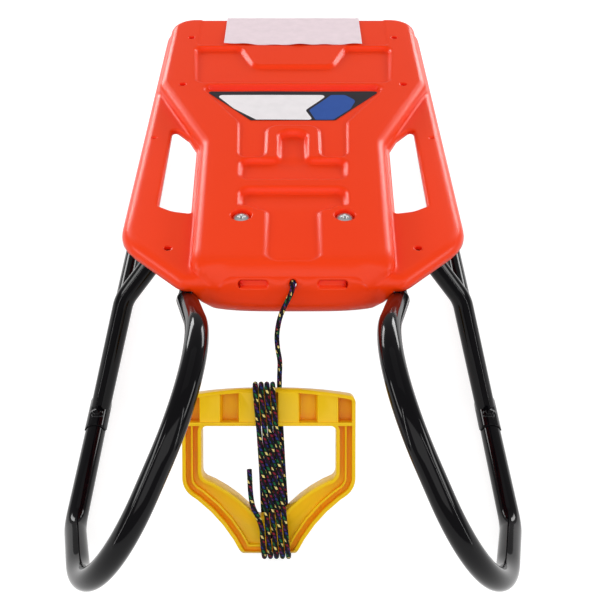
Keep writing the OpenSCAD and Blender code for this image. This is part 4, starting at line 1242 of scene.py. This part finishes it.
# white floor and soft boxes; a box has its place, aim and size in m and its power in W
light = {"world": 0.34, "floor": 0.36, "lift": 0.84}
boxes = {"keyBox": ((0.0, 0.6, 2.2), (0, 0, 0.2), (1.6, 1.6), 1.6),
         "frontBox": ((0.0, -2.0, 1.9), (0, 0, 0.1), (3.2, 1.6), 25.0),
         "sideBox": ((1.8, -0.3, 0.85), (0, -0.1, 0.15), (1.0, 0.3), 7.5),
         "stripBox": ((1.3, -0.9, 0.75), (0, -0.2, 0.1), (0.05, 1.5), 3.6),
         "rimBox": ((1.05, 1.5, 0.62), (0, 0.1, 0.2), (0.9, 0.4), 10.5)}


# one where the background itself is seen: straight, in a reflection or through glass
def seenRay(tree):
    ray = addNode(tree, "ShaderNodeLightPath").outputs
    direct = addNode(tree, "ShaderNodeMath", {"operation": "MAXIMUM"}, {
        0: ray["Is Camera Ray"], 1: ray["Is Glossy Ray"]})
    return addNode(tree, "ShaderNodeMath", {"operation": "MAXIMUM"}, {
        0: direct.outputs[0], 1: ray["Is Transmission Ray"]})


def studioFloor():
    material, tree = newMaterial("palePaperSweep")
    grey = light["floor"]
    lift = addNode(tree, "ShaderNodeMath", {"operation": "MULTIPLY"}, {
        0: seenRay(tree).outputs[0], 1: light["lift"]})
    shader = addNode(tree, "ShaderNodeBsdfPrincipled", {}, {
        "Base Color": (grey, grey, grey, 1), "Roughness": 0.9, "Specular IOR Level": 0.0,
        "Emission Color": (1, 1, 1, 1), "Emission Strength": lift.outputs[0]})
    # clear from below, so that the underside can be looked at
    side = addNode(tree, "ShaderNodeNewGeometry")
    clear = addNode(tree, "ShaderNodeBsdfTransparent")
    both = addNode(tree, "ShaderNodeMixShader", {}, {
        0: side.outputs["Backfacing"], 1: shader.outputs[0], 2: clear.outputs[0]})
    surface(tree, both)
    corners = [(-5, -5, 0), (5, -5, 0), (5, 5, 0), (-5, 5, 0)]
    newObject("studioFloor", corners, [(0, 1, 2, 3)], material, False)


studioFloor()
world = bpy.data.worlds.new("studio")
scene.world = world
world.use_nodes = True
sky = world.node_tree
sky.nodes.clear()
glow = addNode(sky, "ShaderNodeBackground", {}, {
    "Color": (1, 1, 1, 1), "Strength": light["world"]})
addNode(sky, "ShaderNodeOutputWorld", {}, {"Surface": glow.outputs[0]})


def softBox(name, side):
    (x, y, z), towards, size, power = boxes[name]
    lamp = bpy.data.lights.new(name, "AREA")
    lamp.shape = "RECTANGLE"
    lamp.size, lamp.size_y = size
    lamp.energy = power
    obj = linked(name, lamp)
    obj.location = (side * x, y, z)
    aim = Vector(towards) - Vector((side * x, y, z))
    obj.rotation_euler = aim.to_track_quat("-Z", "Y").to_euler()


softBox("keyBox", 1)
softBox("frontBox", 1)
for side in (-1, 1):
    for name in ("sideBox", "stripBox", "rimBox"):
        softBox(name, side)
print("lights on")
